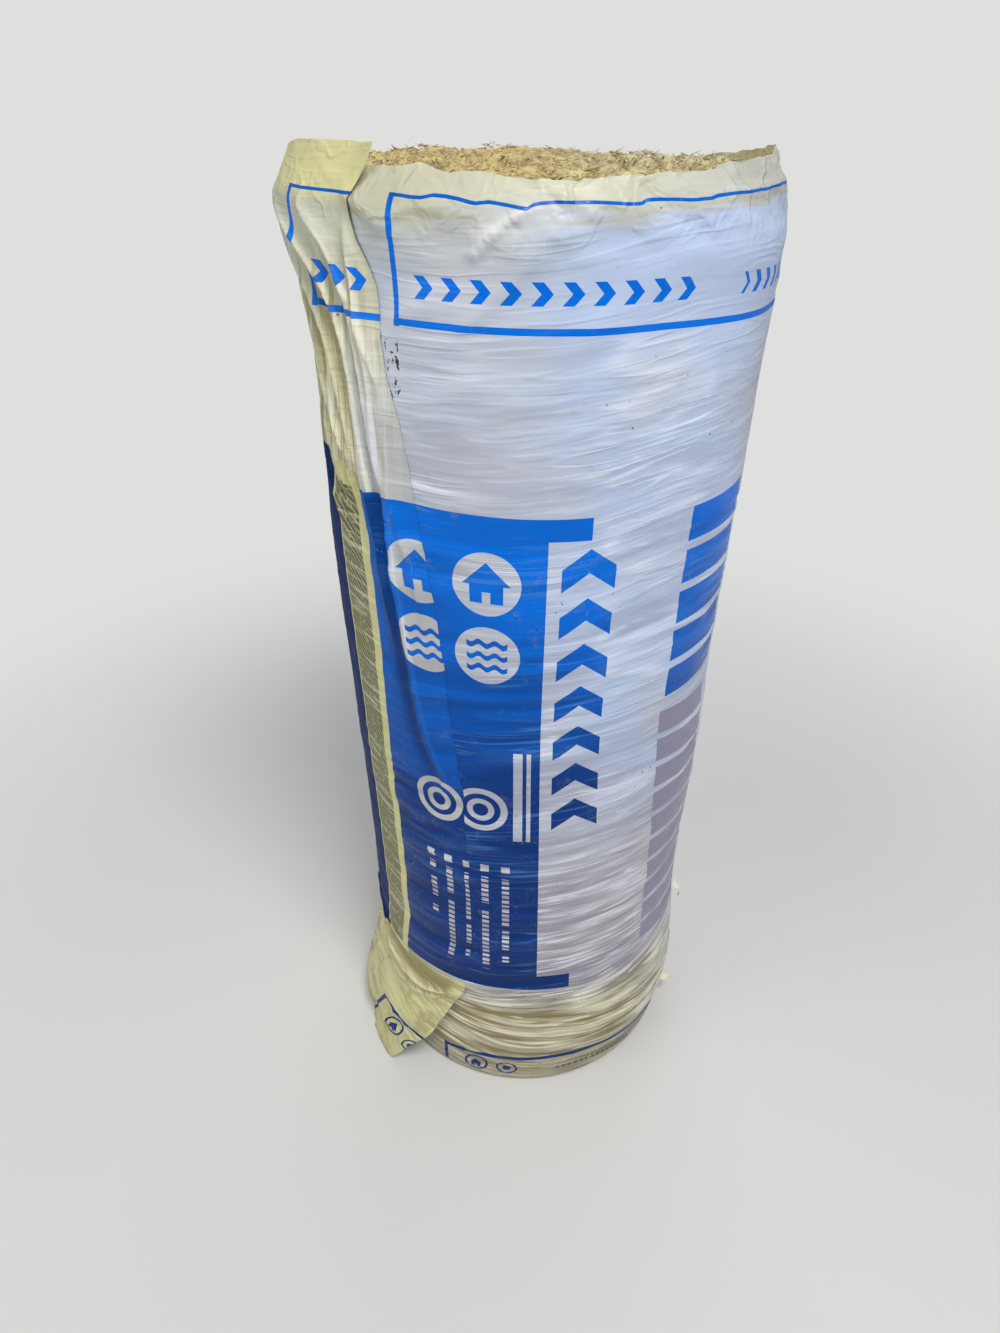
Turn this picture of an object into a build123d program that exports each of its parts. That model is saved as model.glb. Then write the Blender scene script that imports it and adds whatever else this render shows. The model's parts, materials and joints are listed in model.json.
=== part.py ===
# A roll of glass mineral wool for lofts, standing on end in its printed film.
#
# Millimetres. +Z is the axis of the roll and points up. The origin is on the axis,
# at the level of the floor that the turned-under hem of the film rests on.
# -Y is the front, where the loose end of the film shows, a little to the left.

from build123d import *
from math import cos, floor, pi, radians, sin, sqrt, tan
import os

# The blanket, rolled up
blanket_width = 1140.0        # sold width, which is the height of the roll
blanket_length = 5930.0       # sold length of a 200 mm thick blanket
wool_radius = 221.0           # outside of the last turn, squeezed in the film
bore_radius = 20.0            # hole that the winding spindle leaves
bore_lip = 3.0                # the bore's edge at each end, pressed back this far
wool_rim = 18.0               # outer edge at the top, pressed back by the film's shoulder
wool_foot = 10.0              # outer edge at the bottom, pressed back by the film's foot

# The seam between the turns, as it shows on both ends
seam_width = 13.0
seam_depth = 7.0
seam_overcut = 1.0            # each cut starts this far outside the end

# The film
film_wall = 2.0               # stand-in for film that is about 0.1 mm thick
film_clearance = 0.3          # between the film and the wool
hem_width = 45.0              # turned under the roll, flat on the floor
collar_height = 22.0          # above the top of the wool, before it is trimmed
shoulder_turn = 36.0          # degrees that the film bends in over the rim
trim_tilt = 2.2               # degrees, the cut edge of the collar isn't level
trim_rise = 6.5               # middle of the cut edge, above the top of the wool
trim_high_side = 50.0         # degrees from the front, where the collar is highest

# The loose outer end of the film, which lies over the wrap from behind on the left
flap_wall = 1.5
flap_merge_angle = -150.0     # degrees from the front, where it leaves the wrap
flap_middle_angle = -78.0     # degrees from the front
flap_merge_depth = 1.2        # its inside, below the outside of the wrap, where it leaves
flap_cling_depth = 0.75       # the same where it clings to the wrap
flap_top_rise = 24.0          # above the top of the wool
tail_lift = 1.0               # lowest corner, above the floor

# Sizes that follow
turn_pitch = pi * (wool_radius**2 - bore_radius**2) / blanket_length
wool_bottom = film_wall
wool_top = wool_bottom + blanket_width
film_inner_radius = wool_radius + film_clearance
film_radius = film_inner_radius + film_wall
film_rim_radius = wool_rim + film_clearance + film_wall
rim_center_radius = wool_radius - wool_rim
shoulder_height = wool_top - wool_rim
collar_top = wool_top + collar_height
# The film's foot slopes at 45 degrees, like the wool's, and lies its clearance outside it
film_foot = wool_foot + (2 - sqrt(2)) * film_wall - (sqrt(2) - 1) * film_clearance
# The flap clings to the wrap between these heights
cling_bottom = 280.0
cling_top = wool_top - 110.0


def around(angle, radius):
    """Point in a level plane, at an angle from the front and a distance from the axis."""
    return (radius * sin(radians(angle)), -radius * cos(radians(angle)))


def wrap_radius(height):
    """Outside radius of the wrapped film at a height above its rounded foot."""
    bend_rise = film_rim_radius * sin(radians(shoulder_turn))
    above = height - shoulder_height
    if above < 0:
        return film_radius
    if above < bend_rise:
        return rim_center_radius + sqrt(film_rim_radius**2 - above**2)
    bend_end_radius = rim_center_radius + film_rim_radius * cos(radians(shoulder_turn))
    return bend_end_radius - (above - bend_rise) * tan(radians(shoulder_turn))


def clinging(share):
    """Height at a share of the way up the stretch where the flap clings to the wrap."""
    return cling_bottom + share * (cling_top - cling_bottom)


# Level cuts through the flap, from its tail at the floor to its top edge: height, angle of
# the free edge from the front, and how far the flap stands off the wrap's outside, first at
# that edge and then at its middle.
cling = -flap_cling_depth
flap_levels = [
    (tail_lift, -46.6, 53.0, 30.0),
    (55.0, -41.0, 30.0, 19.0),
    (130.0, -31.0, 9.0, 4.5),
    (205.0, -22.6, cling, cling),
    (cling_bottom, -19.8, cling, cling),
    (clinging(0.45), -24.3, cling, cling),
    (clinging(0.75), -32.0, cling, cling),
    (cling_top, -38.0, cling, 1.0),
    (wool_top - 80.0, -39.5, 1.0, 8.5),
    (shoulder_height, -44.5, 2.0, 21.5),
    (shoulder_height + 6.0, -44.5, 1.5, 22.0),
    (shoulder_height + 12.0, -44.0, 0.0, 20.0),
    (wool_top + 6.0, -43.5, -3.0, 11.0),
    (wool_top + flap_top_rise, -41.0, -11.0, -4.0),
]


# The wool: a turned body with its bore
with BuildPart() as wool_roll:
    with BuildSketch(Plane.XZ):
        with Locations((bore_radius, wool_bottom)):
            Rectangle(wool_radius - bore_radius, blanket_width, align=(Align.MIN, Align.MIN))
        chamfer(vertices().group_by(Axis.X)[0], length=bore_lip)
        chamfer(vertices().group_by(Axis.X)[-1].sort_by(Axis.Y)[-1], length=wool_rim)
        chamfer(vertices().group_by(Axis.X)[-1].sort_by(Axis.Y)[0], length=wool_foot)
    revolve(axis=Axis.Z)

    # The seam between the turns is a spiral of half turns. Each half turn is half a pitch
    # wider than the last, about a centre that lies half a pitch from the last one's.
    cut_width = seam_width * (seam_depth + seam_overcut) / seam_depth
    seam_room = rim_center_radius - bore_radius - turn_pitch / 2
    for half_turn in range(1, floor(seam_room / (turn_pitch / 2)) + 1):
        side = 1 if half_turn % 2 else -1
        center = -side * turn_pitch / 4
        radius = bore_radius + turn_pitch / 4 + half_turn * turn_pitch / 2
        for end, inward in ((wool_top, -1), (wool_bottom, 1)):
            with BuildSketch(Plane.XZ):
                with BuildLine():
                    middle = center + side * radius
                    bottom = (middle, end + inward * seam_depth)
                    left_lip = (middle - cut_width / 2, end - inward * seam_overcut)
                    right_lip = (middle + cut_width / 2, end - inward * seam_overcut)
                    Polyline(left_lip, bottom, right_lip, close=True)
                make_face()
            seam_axis = Axis((center, 0, 0), (0, 0, 1))
            revolve(axis=seam_axis, revolution_arc=180, mode=Mode.SUBTRACT)
wool_roll.part.label = "wool_roll"

# The film, once round the roll: hem, wall, shoulder and collar
with BuildPart() as film_wrap:
    with BuildSketch(Plane.XZ):
        with BuildLine():
            Polyline(
                (film_radius - hem_width, 0),
                (film_radius - film_foot, 0),
                (film_radius, film_foot),
                (film_radius, shoulder_height),
            )
            shoulder = CenterArc(
                (rim_center_radius, shoulder_height), film_rim_radius, 0, shoulder_turn
            )
            PolarLine(
                shoulder @ 1,
                collar_top - (shoulder @ 1).Y,
                shoulder_turn + 90,
                length_mode=LengthMode.VERTICAL,
            )
            offset(amount=film_wall, side=Side.LEFT, kind=Kind.INTERSECTION)
        make_face()
    revolve(axis=Axis.Z)
    high_side = Vector(around(trim_high_side, 1))
    trim_normal = Vector(0, 0, cos(radians(trim_tilt))) - high_side * sin(radians(trim_tilt))
    trim_plane = Plane(origin=(0, 0, wool_top + trim_rise), z_dir=trim_normal)
    split(bisect_by=trim_plane, keep=Keep.BOTTOM)

    # The loose outer end, lofted through its level cuts
    for height, edge_angle, edge_gap, middle_gap in flap_levels:
        merge_radius = wrap_radius(height) - flap_merge_depth
        with BuildSketch(Plane.XY.offset(height)):
            with BuildLine():
                inside = ThreePointArc(
                    around(edge_angle, film_radius + edge_gap),
                    around(flap_middle_angle, film_radius + middle_gap),
                    around(flap_merge_angle, merge_radius),
                )
                outside = ThreePointArc(
                    around(edge_angle, film_radius + edge_gap + flap_wall),
                    around(flap_middle_angle, film_radius + middle_gap + flap_wall),
                    around(flap_merge_angle, merge_radius + flap_wall),
                )
                Line(inside @ 0, outside @ 0)
                Line(inside @ 1, outside @ 1)
            make_face()
    loft(ruled=True)
film_wrap.part.label = "film_wrap"

os.makedirs("parts", exist_ok=True)
export_step(wool_roll.part, "parts/wool_roll.step")
export_step(film_wrap.part, "parts/film_wrap.step")
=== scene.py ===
from functools import reduce
import json
import math
from operator import or_

import bpy
import numpy as np
from mathutils import Matrix, Vector

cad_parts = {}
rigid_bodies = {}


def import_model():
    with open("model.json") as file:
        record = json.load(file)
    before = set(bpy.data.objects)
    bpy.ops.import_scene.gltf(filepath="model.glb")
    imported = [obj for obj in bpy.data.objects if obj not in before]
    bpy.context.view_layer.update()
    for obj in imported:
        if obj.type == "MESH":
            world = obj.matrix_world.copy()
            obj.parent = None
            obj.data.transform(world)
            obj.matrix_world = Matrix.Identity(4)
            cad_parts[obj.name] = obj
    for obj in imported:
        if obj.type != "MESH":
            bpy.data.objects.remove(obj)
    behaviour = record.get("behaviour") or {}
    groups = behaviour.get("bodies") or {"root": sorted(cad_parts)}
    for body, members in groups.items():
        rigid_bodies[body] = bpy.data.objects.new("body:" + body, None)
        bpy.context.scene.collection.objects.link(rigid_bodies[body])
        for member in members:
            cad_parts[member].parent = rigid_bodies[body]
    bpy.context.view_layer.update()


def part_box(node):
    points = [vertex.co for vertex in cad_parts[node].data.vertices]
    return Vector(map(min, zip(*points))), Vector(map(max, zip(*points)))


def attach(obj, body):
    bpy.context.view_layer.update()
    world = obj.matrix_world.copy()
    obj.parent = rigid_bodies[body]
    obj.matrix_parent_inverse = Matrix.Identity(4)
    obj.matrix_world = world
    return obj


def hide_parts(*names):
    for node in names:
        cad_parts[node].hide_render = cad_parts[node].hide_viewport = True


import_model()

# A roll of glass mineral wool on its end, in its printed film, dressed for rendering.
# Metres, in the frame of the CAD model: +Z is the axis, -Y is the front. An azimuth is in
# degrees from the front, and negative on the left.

bl_info = {
    "name": "Insulation roll",
    "version": (1, 0, 0),
    "blender": (4, 5, 0),
    "location": "3D View > Sidebar > Roll",
    "description": "Dresses the insulation roll: wool, film and stage",
    "category": "Object",
}

WOOL_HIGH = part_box("wool_roll")[1]

# The form of the roll
WOOL_TOP = WOOL_HIGH.z
WOOL_RADIUS = WOOL_HIGH.x
FILM_RADIUS = 0.2234
RIM_CENTER = 0.203
RIM_RADIUS = FILM_RADIUS - RIM_CENTER
SHOULDER_HEIGHT = WOOL_TOP - 0.018
SHOULDER_TURN = math.radians(36)
FOOT_RADIUS = 0.010
HEM_INNER = 0.178
FLOOR_GAP = 0.0006

# Levels on the film between which it bends under the roll
BEND_START = -0.0052
BEND_END = 0.0105

# Angles along the film, from its free edge leftwards round the back to its inner end
FREE_EDGE = -19.7
FAN_START = -100.0
FLAP_END = -130.0
INNER_END = -442.0

# Below this level the flap flares into its tail
WAIST = 0.2035


# Noise that is the same on every run
def lattice(ix, iy, iz, seed):
    """A number from -1 to 1 for each whole-numbered point."""
    mixed = ix * 73856093 ^ iy * 19349663 ^ iz * 83492791 ^ (seed + 1) * 40503
    mixed = (mixed & 0xFFFFFFFF) * 0x45D9F3B & 0xFFFFFFFF
    mixed = ((mixed >> 16) ^ mixed) * 0x45D9F3B & 0xFFFFFFFF
    mixed = (mixed >> 16) ^ mixed
    return (mixed & 0xFFFF) / 32767.5 - 1.0


def noise(x, y, z=0.0, seed=0, around=0):
    """Smooth noise from -1 to 1, one lattice cell a unit. It repeats in x after the number of
    cells that is given as around."""
    x, y, z = np.broadcast_arrays(x, y, z)
    cells = [np.floor(c).astype(np.int64) for c in (x, y, z)]
    parts = [c - n for c, n in zip((x, y, z), cells)]
    ease = [p * p * p * (p * (6 * p - 15) + 10) for p in parts]
    total = np.zeros(x.shape)
    for dx in (0, 1):
        wx = ease[0] if dx else 1 - ease[0]
        column = (cells[0] + dx) % around if around else cells[0] + dx
        for dy in (0, 1):
            wy = ease[1] if dy else 1 - ease[1]
            for dz in (0, 1):
                wz = ease[2] if dz else 1 - ease[2]
                total += wx * wy * wz * lattice(column, cells[1] + dy, cells[2] + dz, seed)
    return total


def ridges(x, y, z=0.0, seed=0, sharp=2.0, around=0):
    """Crests from 0 to 1 where the noise changes sign."""
    return (1 - np.clip(np.abs(noise(x, y, z, seed, around)) * 1.6, 0, 1)) ** sharp


def ramp(value, start, end):
    """0 at start and 1 at end, with a smooth run between."""
    share = np.clip((value - start) / (end - start), 0, 1)
    return share * share * (3 - 2 * share)


def bell(value, middle, width):
    return np.exp(-(((value - middle) / width) ** 2))


def smooth_line(points, blur):
    """A function through the points, given as rising pairs, with its corners rounded."""
    xs, ys = np.array(sorted(points), float).T
    fine = np.linspace(xs[0], xs[-1], 600)
    step = fine[1] - fine[0]
    reach = max(int(3 * blur / step), 1)
    kernel = np.exp(-0.5 * (np.arange(-reach, reach + 1) * step / blur) ** 2)
    padded = np.pad(np.interp(fine, xs, ys), reach, mode="reflect", reflect_type="odd")
    rounded = np.convolve(padded, kernel / kernel.sum(), mode="valid")
    return lambda value: np.interp(value, fine, rounded)


def highest(*fields):
    return reduce(np.maximum, fields)


def facing(azimuth):
    """The same azimuth, from -180 to 180."""
    return (azimuth + 180.0) % 360.0 - 180.0


def plan(azimuth, radius=FILM_RADIUS):
    """How far a point at an azimuth lies to the right and to the front."""
    turn = np.radians(azimuth)
    return np.sin(turn) * radius, np.cos(turn) * radius


def at(azimuth):
    """Metres along the film at an azimuth."""
    return math.radians(azimuth) * FILM_RADIUS


# The soft roll leans and bulges a little: its swell on the right and on the left, by height
swell_right = smooth_line(
    [(0.0, 0.0), (0.05, 0.0030), (0.09, 0.0048), (0.17, 0.0008), (0.24, -0.0028),
     (0.31, -0.0050), (0.38, -0.0028), (0.46, 0.0), (0.60, -0.0012), (0.80, -0.0024),
     (0.90, -0.0010), (1.00, 0.0), (1.20, 0.0)], 0.02)
swell_left = smooth_line(
    [(0.0, 0.0), (0.06, -0.0020), (0.16, -0.0050), (0.25, -0.0056), (0.37, -0.0046),
     (0.48, -0.0024), (0.575, 0.0006), (0.66, 0.0040), (0.71, 0.0056), (0.79, 0.0058),
     (0.84, 0.0044), (0.90, 0.0016), (0.97, -0.0010), (1.20, 0.0)], 0.02)


def body_swell(azimuth, height):
    """How far the wrapped roll departs from a true cylinder."""
    azimuth = facing(azimuth)
    east, south = plan(azimuth, 2.2)
    waist = -0.0026 * bell(height, 0.70, 0.17)
    belly = 0.0042 * bell(height, 0.15, 0.09) * (0.6 + 0.4 * np.cos(np.radians(azimuth - 80)))
    shoulder = 0.0014 * bell(height, 1.105, 0.03)
    shoulder = shoulder - 0.0095 * ramp(height, 1.088, 1.128) * bell(azimuth, 78, 42)
    lumps = 0.0014 * noise(south, east, height * 5.0, 3) * ramp(height, 0.02, 0.12)
    right = swell_right(height) * bell(azimuth, 74, 38)
    left = swell_left(height) * bell(azimuth, -78, 34)
    return waist + belly + shoulder + right + left + lumps


def wrap_profile(height):
    """Radius of the wrapped film at a height: wall, shoulder and leaning collar."""
    rise = RIM_RADIUS * math.sin(SHOULDER_TURN)
    above = height - SHOULDER_HEIGHT
    arc = RIM_CENTER + np.sqrt(RIM_RADIUS**2 - np.clip(above, 0, rise) ** 2)
    bend_end = RIM_CENTER + RIM_RADIUS * math.cos(SHOULDER_TURN)
    lean = bend_end - (above - rise) * math.tan(SHOULDER_TURN)
    return np.where(above < 0, FILM_RADIUS, np.where(above < rise, arc, lean))


# Azimuth of the film's free edge at each height, in degrees from the front
free_edge = smooth_line(
    [(0.0, -19.3), (0.263, -19.3), (0.305, -18.9), (0.433, -19.7), (0.545, -20.4),
     (0.589, -21.7), (0.635, -23.6), (0.718, -25.0), (0.785, -27.1), (0.837, -29.0),
     (0.893, -31.2), (0.928, -32.2), (0.957, -33.6), (0.983, -35.4), (1.002, -37.0),
     (1.026, -37.3), (1.050, -37.3), (1.072, -37.6), (1.088, -39.4), (1.103, -41.8),
     (1.120, -43.7), (1.133, -43.4), (1.144, -42.0), (1.157, -40.0), (1.169, -38.2)], 0.005)

# How far the flap stands off the wrap at the height where it stands off most
bulge_round = smooth_line(
    [(-170, 0.0), (-150, 0.0002), (-130, 0.003), (-110, 0.008), (-95, 0.0130), (-80, 0.0170),
     (-70, 0.0178), (-61, 0.0150), (-52, 0.0080), (-47, 0.0028), (-43, 0.0006), (-38, 0.0),
     (-30, 0.0)], 2.0)
bulge_up = smooth_line(
    [(0.0, 0.0), (0.97, 0.0), (1.0, 0.02), (1.025, 0.11), (1.05, 0.30), (1.078, 0.63),
     (1.10, 0.89), (1.118, 1.03), (1.133, 1.0), (1.150, 0.82), (1.18, 0.45)], 0.006)

# Folds in the flap: height and azimuth along each crest, height of the crest, and its width
# in degrees on the left and on the right
FLAP_FOLDS = [
    ([(1.10, -45.5), (1.00, -42.4), (0.926, -41.5), (0.891, -40.1), (0.809, -39.3),
      (0.738, -36.9), (0.678, -35.0), (0.616, -31.9), (0.575, -27.3)], 0.0058, 0.9, 3.6),
    ([(0.955, -44.5), (0.926, -42.0), (0.895, -38.6), (0.855, -35.8), (0.816, -33.4),
      (0.776, -31.0)], 0.0024, 0.8, 2.2),
    ([(1.125, -75.0), (1.098, -62.5), (1.077, -57.0), (1.049, -52.0), (1.015, -48.8),
      (0.972, -48.0), (0.927, -46.4), (0.881, -44.7), (0.822, -42.6), (0.76, -41.0)],
     0.0088, 1.5, 1.3),
    ([(1.11, -84.0), (1.078, -69.0), (1.047, -61.5), (1.015, -57.5), (0.974, -54.2),
      (0.933, -50.4), (0.889, -47.2)], 0.0084, 1.4, 1.5),
    ([(1.12, -58.0), (1.099, -51.2), (1.068, -47.6), (1.041, -45.8), (1.001, -44.5),
      (0.95, -42.9)], 0.0062, 1.1, 1.6),
    ([(1.08, -50.0), (1.057, -45.2), (1.02, -41.6), (0.994, -38.9)], 0.0034, 1.0, 1.2),
    ([(1.075, -92.0), (1.047, -80.0), (1.013, -72.0), (0.974, -64.5), (0.945, -57.8),
      (0.914, -52.0)], 0.0080, 1.5, 1.7),
    ([(1.06, -86.0), (1.03, -75.0), (0.995, -65.0), (0.955, -58.0), (0.92, -53.5),
      (0.86, -48.5)], 0.0040, 1.0, 1.1),
    ([(1.05, -104.0), (1.01, -90.0), (0.975, -79.0), (0.945, -69.0), (0.91, -60.5),
      (0.88, -54.5)], 0.0068, 1.7, 1.8),
    ([(1.04, -110.0), (0.99, -92.0), (0.955, -79.0), (0.92, -67.0), (0.88, -57.5),
      (0.84, -51.5)], 0.0036, 1.1, 1.3),
    ([(1.03, -118.0), (0.98, -100.0), (0.94, -86.0), (0.905, -74.0), (0.87, -64.0),
      (0.83, -56.0)], 0.0056, 1.9, 2.0),
]

# Folds that sweep round the flap's lower part, from its left to the tail's corner
TAIL_FOLDS = [
    ([(-84.0, 0.262), (-67.0, 0.205), (-60.9, 0.178), (-54.6, 0.163), (-41.9, 0.158),
      (-32.2, 0.166), (-25.8, 0.178), (-19.0, 0.196)], 0.0078, 0.0046),
    ([(-80.0, 0.215), (-66.0, 0.163), (-56.0, 0.138), (-44.0, 0.130), (-34.0, 0.140),
      (-27.0, 0.158), (-20.0, 0.188)], 0.0062, 0.0042),
    ([(-90.0, 0.30), (-72.0, 0.245), (-62.0, 0.217), (-50.0, 0.200), (-38.0, 0.193),
      (-24.0, 0.201)], 0.0010, 0.0050),
]


def flap_folds(azimuth, height):
    """Height of the flap's long folds over its surface."""
    total = np.zeros(np.shape(azimuth))
    for crest, rise, left, right in FLAP_FOLDS:
        low, high = min(crest)[0], max(crest)[0]
        line = smooth_line(crest, 0.006)
        away = azimuth - line(height) + 0.5 * noise(height * 11.0, rise * 9000.0, 0.5, 17)
        steep = np.radians(line(height + 0.004) - line(height - 0.004)) * FILM_RADIUS / 0.008
        away = np.abs(away) / np.sqrt(1 + steep**2) / np.where(away < 0, left, right)
        ends = ramp(height, low - 0.05, low + 0.03) * (1 - ramp(height, high - 0.02, high + 0.03))
        total += rise * np.exp(-away**1.25) * ends
    total = total * (1 - 0.65 * ramp(-azimuth, 60.0, 78.0))
    return total * ramp(free_edge(height) - azimuth, 0.3, 3.0)


def tail_folds(azimuth, height):
    """Height of the folds that sweep round the tail."""
    total = np.zeros(np.shape(azimuth))
    for crest, rise, width in TAIL_FOLDS:
        left_end = min(crest)[0]
        ends = 0.25 + 0.75 * ramp(azimuth, left_end + 10, left_end + 34)
        ends = ends * (1 - 0.6 * ramp(azimuth, -30, -20))
        total += rise * bell(height, smooth_line(crest, 1.5)(azimuth), width) * ends
    return total


# How far the wrinkles climb along their run round the roll, high up and at its foot: azimuth
# and height
climb_high = smooth_line(
    [(-180, 0.0100), (-120, 0.0020), (-70, -0.0030), (-45, -0.0020), (-30, 0.0), (-15, 0.0045),
     (0, 0.0105), (12, 0.0165), (25, 0.0225), (35, 0.0250), (45, 0.0250), (60, 0.0235),
     (90, 0.0210), (130, 0.0160), (180, 0.0100)], 5.0)
climb_low = smooth_line(
    [(-180, 0.0100), (-100, 0.0250), (-60, 0.0370), (-35, 0.0300), (-30, 0.0255),
     (-22, 0.0155), (-10, 0.0055), (0, 0.0010), (10, 0.0), (18, -0.0005), (30, -0.0070),
     (48, -0.0190), (70, -0.0270), (110, -0.0220), (180, 0.0100)], 4.0)


def wrinkle_level(azimuth, height):
    """The level that a wrinkle passing through a point has at the front."""
    low, high = climb_low(facing(azimuth)), climb_high(facing(azimuth))
    east, south = plan(azimuth)
    stray = 0.0060 * noise(east * 7.0, south * 7.0, height * 6.0, 21)
    stray = stray + 0.0016 * noise(east * 24.0, south * 24.0, height * 30.0, 22)
    return height - low - (high - low) * ramp(height, 0.12, 0.22) - stray


def wrinkles(azimuth, height):
    """Tension wrinkles round the roll: height off the film's mean surface, and how much painted
    shade each point gets in a hollow and painted highlight on a crest, from 0 to 1."""
    east, south = plan(azimuth)
    # The count of wrinkles below a level is the sum of one over their spacing
    table = np.linspace(-0.4, 1.8, 1200)
    gaps = np.interp(table, [-0.2, 0.10, 0.22, 0.60, 0.95, 1.20],
                     [0.0078, 0.0078, 0.0088, 0.0105, 0.0135, 0.0180])
    total = np.cumsum((table[1] - table[0]) / gaps)
    count = np.interp(wrinkle_level(azimuth, height), table, total)
    puffs = noise(east * 9.0, south * 9.0, count, 31)
    waves = noise(east * 6.0 + 4.0, south * 6.0, count * 0.43, 32)
    crisp = np.maximum(ridges(east * 8.0, south * 8.0, count * 0.74, 33, 2.6),
                       0.8 * ridges(east * 5.0 + 7.0, south * 5.0, count * 0.41, 36, 4.0))
    patchy = ramp(noise(east * 10.0, south * 10.0, height * 11.0, 34), -0.25, 0.45)
    calm = 0.70 + 0.45 * noise(east * 8.0, south * 8.0, height * 7.0, 35)
    soft = np.interp(height, [0.0, 0.03, 0.10, 0.20, 0.30, 0.45, 0.80, 1.00, 1.06, 1.15],
                     [0.2, 1.9, 2.7, 2.6, 1.9, 1.45, 1.20, 1.10, 0.35, 0.20])
    sharp = np.interp(height, [0.0, 0.05, 0.15, 0.30, 0.60, 1.00, 1.05],
                      [0.2, 2.6, 3.4, 2.5, 1.7, 1.1, 0.15])
    crisp = crisp * patchy
    off = 0.001 * (soft * (0.62 * puffs * calm + 0.55 * waves) + sharp * crisp)
    # Painted shade in the wrinkles' hollows and painted highlight on their crests
    hollow_shade = np.clip(0.42 - 0.95 * puffs - 0.50 * waves - 0.9 * crisp, 0, 1)
    crest = np.clip(crisp * 1.2 - 0.25 + 0.35 * puffs, 0, 1)
    return off, hollow_shade, crest


# A short fold just under the rim, at the front: azimuth and height along it
RIM_FOLD = [(-5.2, 1.131), (-9.0, 1.1225), (-12.6, 1.1110), (-14.8, 1.1000)]


def rim_fold(azimuth, height, width):
    """1 along the short fold under the rim, and 0 away from it."""
    nearest = np.full(np.shape(azimuth), 9.0)
    for (first, low), (last, high) in zip(RIM_FOLD, RIM_FOLD[1:]):
        start, run, climb = at(first), at(last) - at(first), high - low
        east, up = np.radians(azimuth) * FILM_RADIUS - start, height - low
        share = np.clip((east * run + up * climb) / (run * run + climb * climb), 0, 1)
        nearest = np.minimum(nearest, np.hypot(east - share * run, up - share * climb))
    return bell(nearest, 0.0, width)


def collar_creases(azimuth, height):
    """Slanting creases and gathers where the film is drawn in over the rim."""
    share = azimuth / 360.0
    slant, counter, run = share + height * 1.35, share - height * 1.1, share - height * 0.89
    gathers = 0.0022 * noise(slant * 32.0, height * 9.0, 0.0, 41, 32)
    crisp = 0.0036 * ridges(slant * 21.0, height * 14.0, 0.0, 42, 2.6, 21)
    facets = 0.0024 * ridges(counter * 17.0, height * 26.0, 0.0, 43, 2.0, 17)
    # Longer creases that run down from the rim, slanting down to the left
    down = ramp(height, 0.99, 1.08) * (1 - ramp(height, 1.115, 1.135))
    patchy = ramp(noise(*plan(azimuth, 2.4), height * 8.0, 45), -0.1, 0.45)
    creases = 0.0040 * patchy * ridges(run * 20.0, height * 6.0, 0.0, 44, 3.2, 20)
    soft = 0.0016 * noise(run * 12.0, height * 7.0, 0.0, 46, 12)
    fold = 0.0036 * rim_fold(facing(azimuth), height, 0.0036)
    return ramp(height, 1.085, 1.132) * (gathers + crisp + facets) + down * (creases + soft) + fold


# Print places on the film: how far the flap's print is drawn round, in degrees, by height
print_shift = smooth_line(
    [(0.0, -2.2), (0.25, -2.2), (0.446, -2.0), (0.60, 1.0), (0.745, 3.8), (0.86, 5.2),
     (0.95, 9.0), (1.045, 14.0), (1.13, 16.6), (1.18, 17.0)], 0.02)
PRINT_REPEAT = math.radians(173.25) * FILM_RADIUS

# The print is stretched and dips a little round the right side, over the foot and at the rim
stretch = smooth_line(
    [(0.0, 4.5), (0.25, 4.0), (0.45, 1.8), (0.65, -0.8), (0.90, 0.0), (1.20, 0.0)], 0.03)
dip_right = smooth_line(
    [(-180, 0.0), (25, 0.0), (40, 0.0025), (60, 0.0080), (75, 0.0110), (120, 0.0060), (180, 0.0)],
    3.0)
dip_foot = smooth_line(
    [(-180, 0.0), (-30, 0.0), (-15, 0.0100), (0, 0.0110), (10, 0.0120), (25, 0.0095),
     (35, 0.0050), (50, 0.0005), (70, -0.0040), (180, 0.0)], 2.0)
dip_rim = smooth_line(
    [(-180, 0.0), (-33, -0.0012), (-26, 0.0), (-23.5, -0.0024), (-18, -0.0020),
     (-14.5, 0.0006), (-12, -0.0008), (-8, 0.0012), (-5.2, 0.0030), (-4.4, 0.0030),
     (-3.6, 0.0002), (8, -0.0004), (17, 0.0012), (17.8, -0.0004), (33, 0.0012),
     (33.8, 0.0), (180, 0.0)], 0.25)


def film_columns():
    """Angles along the film from its free edge, leftwards round the back, in degrees."""
    stops = [(FREE_EDGE, -44.0, 42), (-44.0, -100.0, 74), (-100.0, -285.0, 56),
             (-285.0, -335.0, 26), (-335.0, -378.0, 36), (-378.0, -408.0, 12),
             (-408.0, INNER_END, 8)]
    angles = np.concatenate([np.linspace(a, b, n, endpoint=False) for a, b, n in stops])
    return np.append(angles, stops[-1][1])


def film_rows():
    """Heights along the film's width, negative where it is turned under, up to a share of
    the collar's trimmed edge, which the last rows stand for."""
    under = np.linspace(-0.0402, BEND_START, 5, endpoint=False)
    foot = np.linspace(BEND_START, BEND_END, 6, endpoint=False)
    low = np.linspace(BEND_END, 0.300, 118, endpoint=False)
    wall = np.linspace(0.300, 1.095, 230, endpoint=False)
    return np.concatenate([under, foot, low, wall]), np.linspace(0.0, 1.0, 25)


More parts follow.
